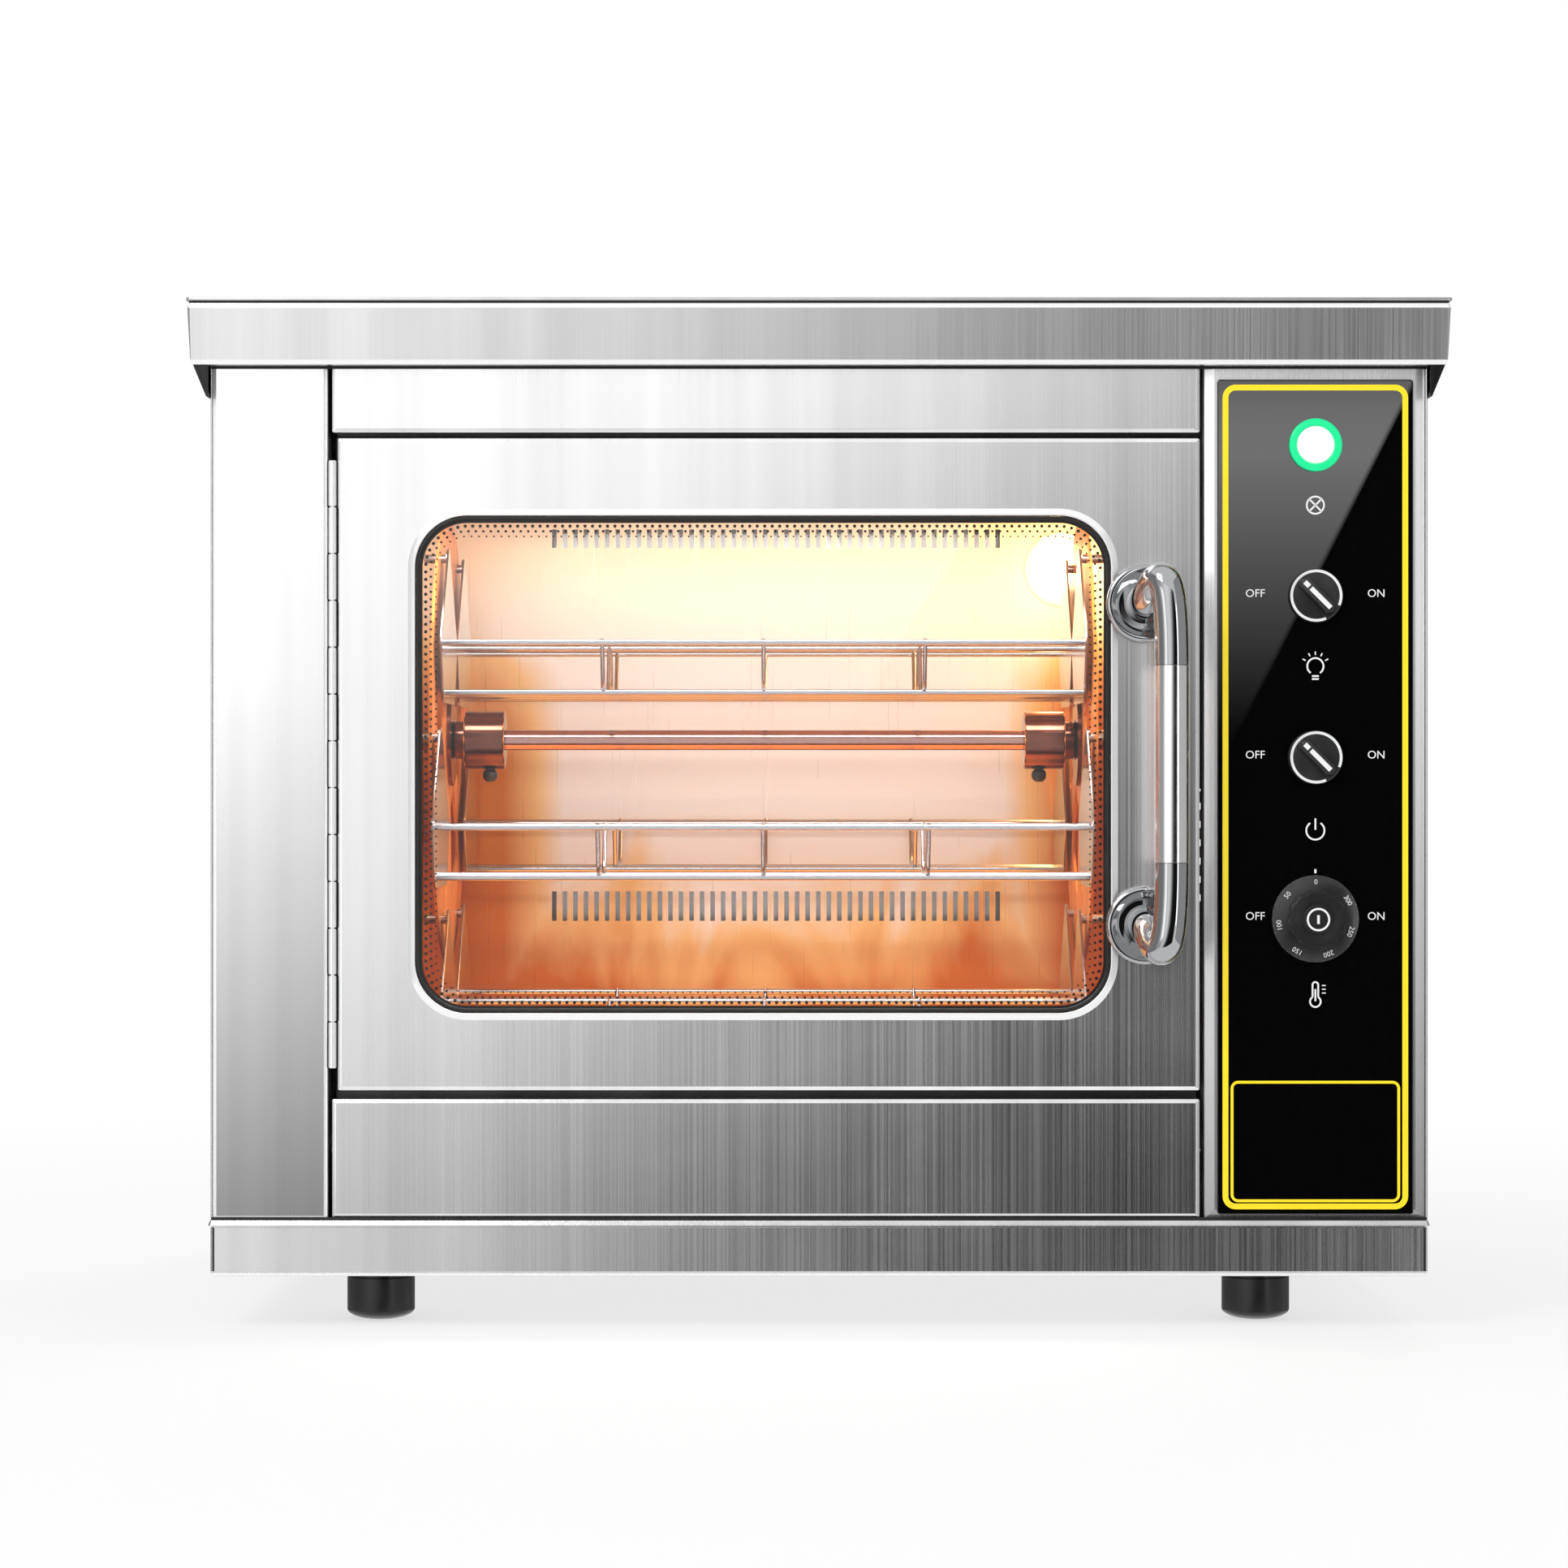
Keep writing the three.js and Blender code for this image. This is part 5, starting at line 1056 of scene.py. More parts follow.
def pilotRing(s):
    # flat back, outer wall, rounded rim, and a bevel down to the lens
    centre = (outer - s["rounding"], height - s["rounding"])
    ring = [(inner, 0.0), (outer, 0.0)] + arcRow(*centre, s["rounding"], 0, 90, 6).tolist()
    return ring + [(inner + s["bevel"], height), (inner, height - s["bevel"])]


def pilotLens(s):
    # neck behind, shoulder, and a dome
    radius, back = inner - s["play"], high[1] - lensHigh[1]
    rim, rise = height - s["sunk"], high[1] - lensLow[1] - height + s["sunk"]
    lens = [(0, back), (s["neck"], back), (s["neck"], crease), (radius, crease), (radius, rim)]
    return lens + domeRow(radius, rise, rim, 10)


addPiece("pilot_ring", turnedShell(pilotRing(pilotSet), place, toFront, 72, closed=True), "cabinet",
         greenPlastic, ["indicator_bezel"])
addPiece("pilot_lens", turnedShell(pilotLens(pilotSet), place, toFront, 72), "cabinet",
         whitePlastic, ["indicator_lens"])
print("pilot lamp done")


# Switch knobs: disc, white ring with a gap as a painted highlight of the rim, finger bar with a white inlay
knobSet = {"base": 0.005, "rounding": 0.0018, "stem": 0.003, "seat": 0.0003, "barLength": 0.029,
           "barWidth": 0.0078, "ringRadius": 0.0158, "ringWidth": 0.0017, "gap": 22, "off": 45.0,
           "sunk": 0.001, "barEdge": 0.0014, "ringHeight": 0.00025, "inlayWidth": 0.0030,
           "inlays": ((-0.0115, 0.0062), (0.0078, 0.0118))}


def stadiumLoop(length, width, grow, turn, steps=14):
    # two half circles joined by straights, turned about the middle
    r, reach = width / 2 + grow, (length - width) / 2
    t = np.linspace(-np.pi / 2, np.pi / 2, steps)
    right = np.stack([reach + r * np.cos(t), r * np.sin(t)], -1)
    loop = np.concatenate([right, -right])
    c, s = math.cos(turn), math.sin(turn)
    return np.stack([loop[:, 0] * c - loop[:, 1] * s, loop[:, 0] * s + loop[:, 1] * c], -1)


def knobShells(s, node):
    # a disc with a rounded rim, the finger bar across it, and the stem behind the panel
    nodeLow, nodeHigh = span(node)
    x, z = panelX, (nodeLow[2] + nodeHigh[2]) / 2
    back, r = plateLow[1] - s["seat"], (nodeHigh[2] - nodeLow[2]) / 2
    rim = arcRow(r - s["rounding"], s["base"] - s["rounding"], s["rounding"], 0, 90, 6).tolist()
    base = [(0, 0), (r, 0), (r, s["base"] - s["rounding"]), *rim, (0, s["base"])]
    turn = math.radians(90 + s["off"])
    front, foot, edge = nodeLow[1] + hair, back - s["base"], s["barEdge"]
    # the bar's growth at each depth: sunk into the disc, a hollow round its foot, and a softened top
    levels = {foot + s["sunk"]: 2 * soft, foot - 2 * crease: 2 * crease, foot - 4 * soft: 0.0,
              front + edge: -hair, front + 2 * crease: -edge / 2, front: -edge}
    bar = [stadiumLoop(s["barLength"], s["barWidth"], grow, turn) for grow in levels.values()]
    loops = [loop + np.array([x, z]) for loop in bar]
    return [turnedShell(base, (x, back, z), toFront, 72), plateShell(loops, levels, "xz"),
            pinShell(s["stem"], nodeHigh[1] - back, (x, back, z), toBack)], (x, z, foot, front, turn)


def knobMarks(s, x, z, foot, front, turn):
    # the ring with its gap opposite the bar's tip, a painted highlight of the knob's rim, and the bar's inlay
    # in two parts
    start = 90 + s["off"] + 180
    ring = circlePath(x, z, s["ringRadius"], start + s["gap"], start + 360 - s["gap"], 64)
    centre, along = np.array([x, z]), np.array([math.cos(turn), math.sin(turn)])
    inlays = [ribbonShell([centre + along * a, centre + along * b], s["inlayWidth"], front)
              for a, b in s["inlays"]]
    return [ribbonShell(ring, s["ringWidth"], foot, s["ringHeight"])] + inlays


for label, body in (("lighting", "lighting_switch"), ("power", "power_switch")):
    node = f"{label}_switch_knob"
    shells, where = knobShells(knobSet, node)
    addPiece(f"{label}_knob", shells, body, mattBlack, [node])
    addPiece(f"{label}_knob_marks_and_rim_highlight", knobMarks(knobSet, *where), body, whitePrint)
print("switch knobs done")


# Thermostat: sloping skirt with its scale, fluted dial, hub with a ring
dialSet = {"skirtHeight": 0.003, "dial": 0.019, "skirtTop": 0.0196, "flutes": 14, "fluteDepth": 0.055,
           "hub": 0.0095, "hubHeight": 0.002, "hubEdge": 0.0006, "hubSunk": 0.0027, "belowStem": 0.002,
           "crown": 0.0018, "overlap": 0.0008, "step": 0.001}
markSet = {"ring": 0.0068, "ringWidth": 0.0013, "bar": 0.0028, "barWidth": 0.0016, "sunk": 0.0007,
           "thick": 0.0002, "pointer": (0.0122, 0.0165), "pointerDrop": 0.0127, "ticks": (0.0262, 0.0274),
           "tickWidth": 0.0004, "tickStep": 10, "range": 300, "scaleStep": 50, "scaleRadius": 0.0236,
           "scaleSize": 0.0046, "scaleLift": 0.0010, "index": (0.0292, 0.0318), "indexWidth": 0.0014}


def dialShells(s):
    nodeLow, nodeHigh = span("thermostat_knob")
    x, z, back, front = panelX, (nodeLow[2] + nodeHigh[2]) / 2, plateLow[1] - knobSet["seat"], nodeLow[1]
    r = (nodeHigh[2] - nodeLow[2]) / 2
    skirtProfile = [(0, 0), (r - soft, 0), (r, soft), (r - soft, s["overlap"]),
                    (s["skirtTop"], s["skirtHeight"]), (0, s["skirtHeight"])]
    # fluted dial: radius * (1 - depth * (0.5 - 0.5 cos(flutes t))), drawn in towards the front edge
    t = np.linspace(0, 2 * np.pi, 168, endpoint=False)
    wave = 0.5 - 0.5 * np.cos(s["flutes"] * t)
    foot, step, height = s["skirtHeight"], s["step"], back - front - s["belowStem"]
    crown = height - s["crown"]
    # share of the radius, height over the panel, share of the flutes' depth
    levels = [(1.0, foot - s["overlap"], 1.0), (1.0, foot + step, 1.0), (0.985, crown, 1.0),
              (0.965, crown + step, 0.9), (0.93, height - hair, 0.6), (0.86, height, 0.2),
              (0.62, height - 2 * soft, 0.0)]
    rows = []
    for share, level, deep in levels:
        radius = s["dial"] * share * (1 - s["fluteDepth"] * deep * wave)
        flat = np.stack([x + radius * np.cos(t), z + radius * np.sin(t)], -1)
        rows.append(placed(flat, back - level, "xz"))
    hub, top, edge = s["hub"], s["hubHeight"], s["hubEdge"]
    hubProfile = [(0, 0), (hub, 0), (hub, top - s["overlap"]), (hub - edge, top), (0, top)]
    return [turnedShell(skirtProfile, (x, back, z), toFront, 96), skinOf(np.stack(rows)),
            turnedShell(hubProfile, (x, front + s["hubSunk"], z), toFront, 48),
            pinShell(knobSet["stem"], nodeHigh[1] - back, (x, back, z), toBack)], (x, z, r, back, front)


def markShells(s, x, z, back, front):
    # ring and bar on the hub, and the pointer on the dial's rim
    level, thick, width = front + s["sunk"], s["thick"], s["barWidth"]
    ring = ribbonShell(circlePath(x, z, s["ring"], count=56), s["ringWidth"], level, thick, closed=True)
    bar = ribbonShell([[x, z - s["bar"]], [x, z + s["bar"]]], width, level, thick)
    pointer = [[x, z + height] for height in s["pointer"]]
    return [ring, bar, ribbonShell(pointer, width, back - s["pointerDrop"], thick)]


def tickShells(s, x, z, back):
    # one short line for every ten degrees, counted from the top
    turns = np.radians(np.arange(0, s["range"] + 1, s["tickStep"]) + 90.0)
    lines = [[[x + r * math.cos(a), z + r * math.sin(a)] for r in s["ticks"]] for a in turns]
    return [ribbonShell(line, s["tickWidth"], back - 2 * soft, soft) for line in lines]


shells, (dialX, dialZ, dialRadius, dialBack, dialFront) = dialShells(dialSet)
addPiece("thermostat_dial", shells, "thermostat", dialBlack, ["thermostat_knob"])
marks = markShells(markSet, dialX, dialZ, dialBack, dialFront)
addPiece("thermostat_marks", marks, "thermostat", whitePrint)
# the skirt's slope lifts the numbers by its share of the height at their radius
slope = (dialRadius - markSet["scaleRadius"]) / (dialRadius - dialSet["skirtTop"])
lift = dialSet["skirtHeight"] * slope + markSet["scaleLift"]
for number in range(0, markSet["range"] + 1, markSet["scaleStep"]):
    turn = math.radians(number)
    x, z = dialX - markSet["scaleRadius"] * math.sin(turn), dialZ + markSet["scaleRadius"] * math.cos(turn)
    wordPiece(f"scale_{number}", str(number), x, z, markSet["scaleSize"], "thermostat", dialBack - lift, turn)
ticks = tickShells(markSet, dialX, dialZ, dialBack)
addPiece("scale_ticks", ticks, "thermostat", whitePrint)
index = ribbonShell([[panelX, dialZ + height] for height in markSet["index"]], markSet["indexWidth"], printY)
addPiece("scale_index", index, "cabinet", whitePrint)
print("thermostat done")


# Baskets: round wires, rounded end plates, pivot pins
basketSet = {"topHalf": 0.062, "floorHalf": 0.043, "railDrop": 0.059, "floorDrop": 0.092, "wire": 0.002,
             "cross": 0.0015, "plateEdge": 0.007, "plate": 0.0015, "pin": 0.003, "pinReach": 0.016,
             "bend": 0.010, "crossWires": 3, "washer": 0.0062, "washerHeight": 0.0011, "edgeBreak": 0.0003,
             "pinTip": 0.0008, "pinSunk": 0.0008, "washerSunk": 0.0004}


def basketShells(s, node):
    low, high = span(node)
    x0, x1 = low[0] + s["pinReach"], high[0] - s["pinReach"]
    y, z = (low[1] + high[1]) / 2, high[2] - s["plateEdge"]
    corners = [(0, 0), (-s["topHalf"], -s["railDrop"]), (-s["floorHalf"], -s["floorDrop"]),
               (s["floorHalf"], -s["floorDrop"]), (s["topHalf"], -s["railDrop"])]
    broken, tip = s["edgeBreak"], s["pinReach"] + s["pinTip"]
    pin = [(0, 0), (s["pin"], 0), (s["pin"], s["pinReach"]), (s["pin"] - s["pinTip"], tip), (0, tip)]
    shells = []
    for face, inward in ((x0, 1), (x1, -1)):
        edge = [offsetPolygon(corners, s["plateEdge"] - less, 7) + np.array([y, z])
                for less in (broken, 0.0, 0.0, broken)]
        depths = [face + inward * depth for depth in (0, broken, s["plate"] - broken, s["plate"])]
        shells.append(plateShell(edge, depths, "yz"))
        shells.append(turnedShell(pin, (face + inward * s["pinSunk"], y, z), (-inward, 0, 0), 20))
        foot = (face + inward * s["washerSunk"], y, z)
        shells.append(pinShell(s["washer"], s["washerHeight"], foot, (-inward, 0, 0), 20))
    ends = np.linspace(x0 + s["plate"] / 2, x1 - s["plate"] / 2, 3)
    for dy, dz in ((s["topHalf"], -s["railDrop"]), (s["floorHalf"], -s["floorDrop"]), (0, -s["floorDrop"]),
                   (-s["floorHalf"], -s["floorDrop"]), (-s["topHalf"], -s["railDrop"])):
        rail = np.stack([ends, np.full(3, y + dy), np.full(3, z + dz)], -1)
        shells.append(tubeShell(rail, s["wire"], 14))
    for x in np.linspace(x0, x1, s["crossWires"] + 2)[1:-1]:
        top, floor = z - s["railDrop"] + s["wire"], z - s["floorDrop"]
        route = [(x, y + s["topHalf"], top), (x, y + s["floorHalf"], floor), (x, y - s["floorHalf"], floor),
                 (x, y - s["topHalf"], top)]
        shells.append(tubeShell(filletPath(route, s["bend"]), s["cross"], 12, reference=(1.0, 0.0, 0.0)))
    return shells


for count in range(1, 7):
    name = f"basket_{count}"
    addPiece(f"wire_basket_{count}", basketShells(basketSet, name), name, wireSteel,
             [name], 40)
print("baskets done")


# Shaft and hubs: polished shaft, bronze collars with a black set screw
hubSet = {"collar": 0.0201, "collarLength": 0.028, "sleeve": 0.0131, "flange": 0.0321,
          "flangeThickness": 0.003, "offset": 0.008, "play": 0.0001, "edge": 0.001, "screw": 0.0034,
          "screwHead": 0.0052, "screwReach": 0.0105, "socket": 0.0018, "ball": (-0.75, 1.1),
          "flangeRise": 0.0015, "screwPlace": 0.62, "socketDepth": 0.0022, "rodEdge": 0.0006,
          "discInset": 0.002}
low, high = span("wheel_shaft")
shaftY, shaftZ = middle("wheel_shaft")[1:]
shaftRadius, rodEdge = (high[1] - low[1]) / 2, hubSet["rodEdge"]
half = [(0, 0), (shaftRadius - rodEdge, 0), (shaftRadius, rodEdge)]
rod = half + [(radius, high[0] - low[0] - depth) for radius, depth in half[::-1]]
rodShell = turnedShell(rod, (low[0], shaftY, shaftZ), (1, 0, 0), 48)
addPiece("wheel_rod", rodShell, "wheel", shaftSteel, ["wheel_shaft"])


def hubShells(s, face, inward):
    # flange, sleeve and collar turned in one profile, a shade larger than the solids under it
    play, edge, sleeve, collar, thick = s["play"], s["edge"], s["sleeve"], s["collar"], s["flangeThickness"]
    start, bore = thick + s["offset"], shaftRadius + play
    end, rise = start + s["collarLength"], s["flangeRise"]
    profile = [(bore, play), (s["flange"], play), (s["flange"], thick + play), (sleeve + rise, thick + play),
               (sleeve, thick + rise + play), (sleeve, start - play), (collar - edge, start - play),
               (collar, start + edge - play), (collar, end - edge + play), (collar - edge, end + play),
               (bore, end + play)]
    hub = turnedShell(profile, (face, shaftY, shaftZ), (inward, 0, 0), 56, closed=True)
    x = face + inward * (start + s["collarLength"] * s["screwPlace"])
    head, reach = s["screwHead"], s["screwReach"]
    ball = domeRow(head, head, reach - head, 12, s["ball"])
    floor = reach - s["socketDepth"]
    screw = [(0, 0), (s["screw"], 0), (s["screw"], ball[0][1] - soft), *ball, (s["socket"], floor),
             (0, floor)]
    seat = collar - edge
    return hub, [turnedShell(screw, (x, shaftY, shaftZ - seat), (0, 0, -1), 28),
                 turnedShell(screw, (x, shaftY + seat, shaftZ), toBack, 28)]


for label, inward in (("left", 1), ("right", -1)):
    low, high = span(f"{label}_wheel_disc")
    face = low[0] + hubSet["discInset"] if inward > 0 else high[0] - hubSet["discInset"]
    hub, screws = hubShells(hubSet, face, inward)
    addPiece(f"{label}_hub", hub, "wheel", hubBronze)
    addPiece(f"{label}_hub_screws", screws, "wheel", mattBlack)
print("wheel done")


# Back wall of the oven: fine slots high and low, a square cut-out behind the lamp holder
wallSet = {"pitch": 0.0079, "slot": 0.0034, "from": -0.196, "to": 0.147, "lampGap": 0.012, "lampClear": 0.025,
           "lower": (0.247, 0.269), "upper": (0.526, 0.540)}
low, high = span("liner_back_wall")
lampLow, lampHigh = span("lamp_glass")
lampX, _, lampZ = middle("lamp_glass")
lampRadius, domeDepth = (lampHigh[0] - lampLow[0]) / 2, lampHigh[1] - lampLow[1]


def backWallShell(s):
    starts = np.arange(s["from"], s["to"] - s["slot"], s["pitch"])
    hole = (lampX - s["lampGap"], lampX + s["lampGap"])
    xs = np.unique(np.concatenate([[low[0], high[0]], starts, starts + s["slot"], hole]))
    zs = np.array([low[2], *s["lower"], lampZ - s["lampGap"], lampZ + s["lampGap"], *s["upper"], high[2]])
    zs = np.unique(zs)
    x, z = (xs[:-1] + xs[1:]) / 2, (zs[:-1] + zs[1:]) / 2
    inSlot = np.abs((x - s["from"]) % s["pitch"] - s["slot"] / 2) < s["slot"] / 2
    inSlot &= (x > s["from"]) & (x < s["to"])
    inLower = (z > s["lower"][0]) & (z < s["lower"][1])
    inUpper = (z > s["upper"][0]) & (z < s["upper"][1])
    inLamp = (np.abs(x - lampX) < s["lampGap"])[None] & (np.abs(z - lampZ) < s["lampGap"])[:, None]
    clear = inSlot & (x < lampLow[0] - s["lampClear"])
    kept = ~((inLower[:, None] & inSlot[None]) | (inUpper[:, None] & clear[None]) | inLamp)
    return slottedSheet(xs, zs, kept, low[1], high[1])


addPiece("oven_back", backWallShell(wallSet), "cabinet", linerSteel, ["liner_back_wall"])
print("oven back done")


# Lamp: a glowing dome
dome = [(0, 0), (lampRadius, 0), (lampRadius, domeDepth * 0.45)]
dome += domeRow(lampRadius, domeDepth * 0.5, domeDepth * 0.5)
domeShell = turnedShell(dome, (lampX, lampHigh[1], lampZ), toFront, 48)
addPiece("lamp_dome", domeShell, "cabinet", lampGlow, ["lamp_glass"])
print("lamp done")


# Cord gland: ribbed nose and hexagon nut
low, high = span("cable_gland")
glandSet = {"ribs": 15, "ribsFrom": 0.0065, "ribRadius": 0.0105, "taper": 0.0035, "ribDepth": 0.0004,
            "bore": 0.004, "neck": 0.011, "inside": 0.006, "shoulder": 0.0055, "mouth": 0.0055, "tip": 0.001,
            "nutHole": 0.0095, "nut": 0.014, "nutHeight": 0.0053}
place = ((low[0] + high[0]) / 2, backY, (low[2] + high[2]) / 2)


def noseProfile(s, length):
    # ribs whose radius falls evenly towards the tip, every other one a little deeper
    ribs = np.linspace(s["ribsFrom"], length - s["tip"], s["ribs"])
    share = (ribs - ribs[0]) / (ribs[-1] - ribs[0])
    radii = s["ribRadius"] - s["taper"] * share + s["ribDepth"] * np.cos(np.arange(s["ribs"]) * np.pi)
    neck = s["neck"]
    foot = [(s["bore"], -s["inside"]), (neck, -s["inside"]), (neck, soft), (neck + crease, s["shoulder"])]
    return foot + [*zip(radii.tolist(), ribs.tolist()), (s["mouth"], length), (s["bore"], length)]


def nutProfile(s):
    # a ring with six corners, seated a soft edge above the panel
    hole, corner, top, edge = s["nutHole"], s["nut"], s["nutHeight"], 5 * hair
    rim = [(corner - 2 * crease, soft), (corner, soft + edge), (corner, top - edge),
           (corner - 2 * crease, top)]
    return [(hole, soft), *rim, (hole, top)]


nose = turnedShell(noseProfile(glandSet, high[1] - backY), place, toBack, 40, closed=True)
nut = turnedShell(nutProfile(glandSet), place, toBack, 6, closed=True)
addPiece("cord_gland", [nose, nut], "cabinet", mattBlack, ["cable_gland"])
print("gland done")


# Pan-head screws on the back and side panels
screwSet = {"radius": 0.0034, "height": 0.0018, "inset": 0.010, "backEdge": 0.012, "sideFoot": 0.014,
            "sideTop": 0.034, "frontGap": 0.05, "backGap": 0.015}


def screwPiece(name, places, axis):
    # a low dome at every place
    profile = [(0, 0)] + domeRow(screwSet["radius"], screwSet["height"], 0.0, 5)
    heads = repeated(turnedShell(profile, (0, 0, 0), axis, 14), places)
    addPiece(name, heads, "cabinet", polishedSteel)


low, high = span("back_panel")
xs = np.linspace(low[0] + screwSet["inset"], high[0] - screwSet["inset"], 5)
zs = (low[2] + screwSet["backEdge"], shellTop - screwSet["backEdge"])
backPlaces = [(x, backY, z) for x in xs for z in zs]
backPlaces += [(x, backY, (low[2] + shellTop) / 2) for x in (xs[0], xs[-1])]
screwPiece("back_screws", backPlaces, toBack)
ys = np.linspace(frontY + screwSet["frontGap"], backY - screwSet["backGap"], 3)
zs = (low[2] + screwSet["sideFoot"], shellTop - screwSet["sideTop"])
for label, side in (("left", -1), ("right", 1)):
    screwPiece(f"{label}_side_screws", [(side * -sideX, y, z) for y in ys for z in zs], (side, 0, 0))
print("screws done")


# Finishes of the solids that stay as packed
kept = {
    brushedSteel: ["left_side_panel", "right_side_panel", "back_panel"],
    discSteel: ["left_wheel_disc", "right_wheel_disc"],
    frameShadeSteel: ["liner_front_frame"],
    linerSteel: ["liner_left_wall", "liner_right_wall", "liner_roof", "liner_floor", "crumb_tray"],
    panSteel: ["door_inner_pan"],
    galvanised: ["motor_bracket"],
    castMetal: ["gear_motor", "left_bearing", "right_bearing", "drive_coupling", "upper_heater",
                "lower_heater"],
    mattBlack: ["lighting_switch_body", "power_switch_body", "thermostat_body", "door_catch"],
    sealAndShadeBlack: ["door_seal"],
    clearGlass: ["door_glass"],
    ceramic: ["lamp_holder"],
}
bevels = {"left_side_panel": 0.0005, "right_side_panel": 0.0004, "back_panel": 0.0004,
          "liner_front_frame": 0.0004, "left_wheel_disc": 0.0003, "right_wheel_disc": 0.0003,
          "door_inner_pan": 0.0004, "crumb_tray": 0.0003, "gear_motor": 0.0015, "motor_bracket": 0.0004,
          "door_catch": 0.0006}
for material, names in kept.items():
    for name in names:
        nodes[name].data.materials.clear()
        nodes[name].data.materials.append(material)
for name, width in bevels.items():
    weld = nodes[name].modifiers.new("weld", "WELD")
    weld.merge_threshold = 0.00001
    bevel = nodes[name].modifiers.new("soften", "BEVEL")
    bevel.width, bevel.segments = width, 2
    bevel.limit_method, bevel.angle_limit = "ANGLE", math.radians(35)
print("solids finished")


# Floor, light and the graduated card that the steel reflects
stageSet = {"floor": 14.0, "floorColor": 0.92, "nearWhite": 0.66, "fade": (0.5, 1.7), "cardY": -3.6,
            "world": 0.62}


def plane(name, corners, material):
    mesh = bpy.data.meshes.new(name)
    mesh.from_pydata(corners, [], [tuple(range(len(corners)))])
    mesh.materials.append(material)
    made = linked(name, mesh)
    return made


def viewRays(tree):
    # one for rays from the eye, and for those that metal and glass send on
    path = tree.nodes.new("ShaderNodeLightPath")
    some = mathOf(tree, "MAXIMUM", path.outputs["Is Camera Ray"], path.outputs["Is Glossy Ray"])
    return mathOf(tree, "MAXIMUM", some, path.outputs["Is Transmission Ray"])


def emitter(tree, level=1.0):
    glow = tree.nodes.new("ShaderNodeEmission")
    glow.inputs["Strength"].default_value = level
    return glow


def bareMaterial(name):
    # nothing but the output, for a card that only shines
    material = bpy.data.materials.new(name)
    material.use_nodes = True
    tree = material.node_tree
    tree.nodes.clear()
    tree.nodes.new("ShaderNodeOutputMaterial")
    return material, tree


def floorFinish():
    # pale floor that turns into plain white for the eye beyond the shadow
    material, tree, shader = newFinish("paleFloor", (stageSet["floorColor"],) * 3, 0.9)
    where = tree.nodes.new("ShaderNodeTexCoord")
    far = tree.nodes.new("ShaderNodeVectorMath")
    far.operation = "LENGTH"
    tree.links.new(where.outputs["Object"], far.inputs[0])
    share = ranged(tree, far.outputs["Value"], stageSet["nearWhite"], 1.0, *stageSet["fade"])
    seen = mathOf(tree, "MULTIPLY", viewRays(tree), share)
    surfaceFrom(tree, mixedShader(tree, seen, shader, emitter(tree)))
    return material


# what the window glass and the control panel mirror: each a pane with a slanting edge, given by two front
# points, between a left and a right bound, whose brightness grows with height
paneBlur = {"slant": 0.004, "side": 0.02, "growth": 1.6}
paneSet = {
    "window": {"high": (0.1014, 0.518), "low": (0.027, 0.401), "left": -0.30, "right": 0.215,
               "fade": (0.35, 0.47), "level": 1.9, "fall": (0.50, 0.53), "topLevel": 1.9},
    "plate": {"high": (0.3806, 0.6074), "low": (0.2605, 0.3682), "left": 0.235, "right": 0.42,
              "fade": (0.37, 0.59), "level": 3.0, "fall": (0.56, 0.635), "topLevel": 0.9},
}


def inCard(x, z):
    # where the ray that the eye sends to a front point arrives on the card after the mirror
    far = (frontY - stageSet["cardY"]) / cameraSet["distance"]
    return x + far * (x - cameraSet["x"]), z + far * (z - cameraSet["height"])


def paneLevel(tree, parts, pane):
    # one left of the slanting edge and inside the bounds, times a level that grows with a power of height
    one, other = inCard(*pane["high"]), inCard(*pane["low"])
    lean = (one[0] - other[0]) / (one[1] - other[1])
    edge = mathOf(tree, "ADD", parts["X"], mathOf(tree, "MULTIPLY", parts["Z"], -lean))
    start = other[0] - lean * other[1]
    slant, side = paneBlur["slant"], paneBlur["side"]
    inside = ranged(tree, edge, 1.0, 0.0, start - slant, start + slant)
    left, right = inCard(pane["left"], 0)[0], inCard(pane["right"], 0)[0]
    bound = mathOf(tree, "MULTIPLY", ranged(tree, parts["X"], 0.0, 1.0, left - side, left + side),
                   ranged(tree, parts["X"], 1.0, 0.0, right - side, right + side))
    fadeLow, fadeHigh, fallLow, fallHigh = [inCard(0, z)[1] for z in (*pane["fade"], *pane["fall"])]
    rise = ranged(tree, parts["Z"], 0.0, 1.0, fadeLow, fadeHigh)
    fall = ranged(tree, parts["Z"], pane["level"], pane["topLevel"], fallLow, fallHigh)
    growth = mathOf(tree, "MULTIPLY", mathOf(tree, "POWER", rise, paneBlur["growth"]), fall)
    return mathOf(tree, "MULTIPLY", mathOf(tree, "MULTIPLY", inside, bound), growth)


# the card: its brightness by the share of the way from upper left to lower right, and its four bounds
cardSet = {"alongX": 0.506, "alongZ": -0.4648, "start": 0.6822, "x": (-1.6, 2.1), "z": (-1.45, 1.65),
           "levels": {0.0: 1.3, 0.25: 1.12, 0.435: 0.77, 0.55: 0.54, 0.685: 0.22, 0.75: 0.10, 0.935: 0.028,
                      1.0: 0.012}}


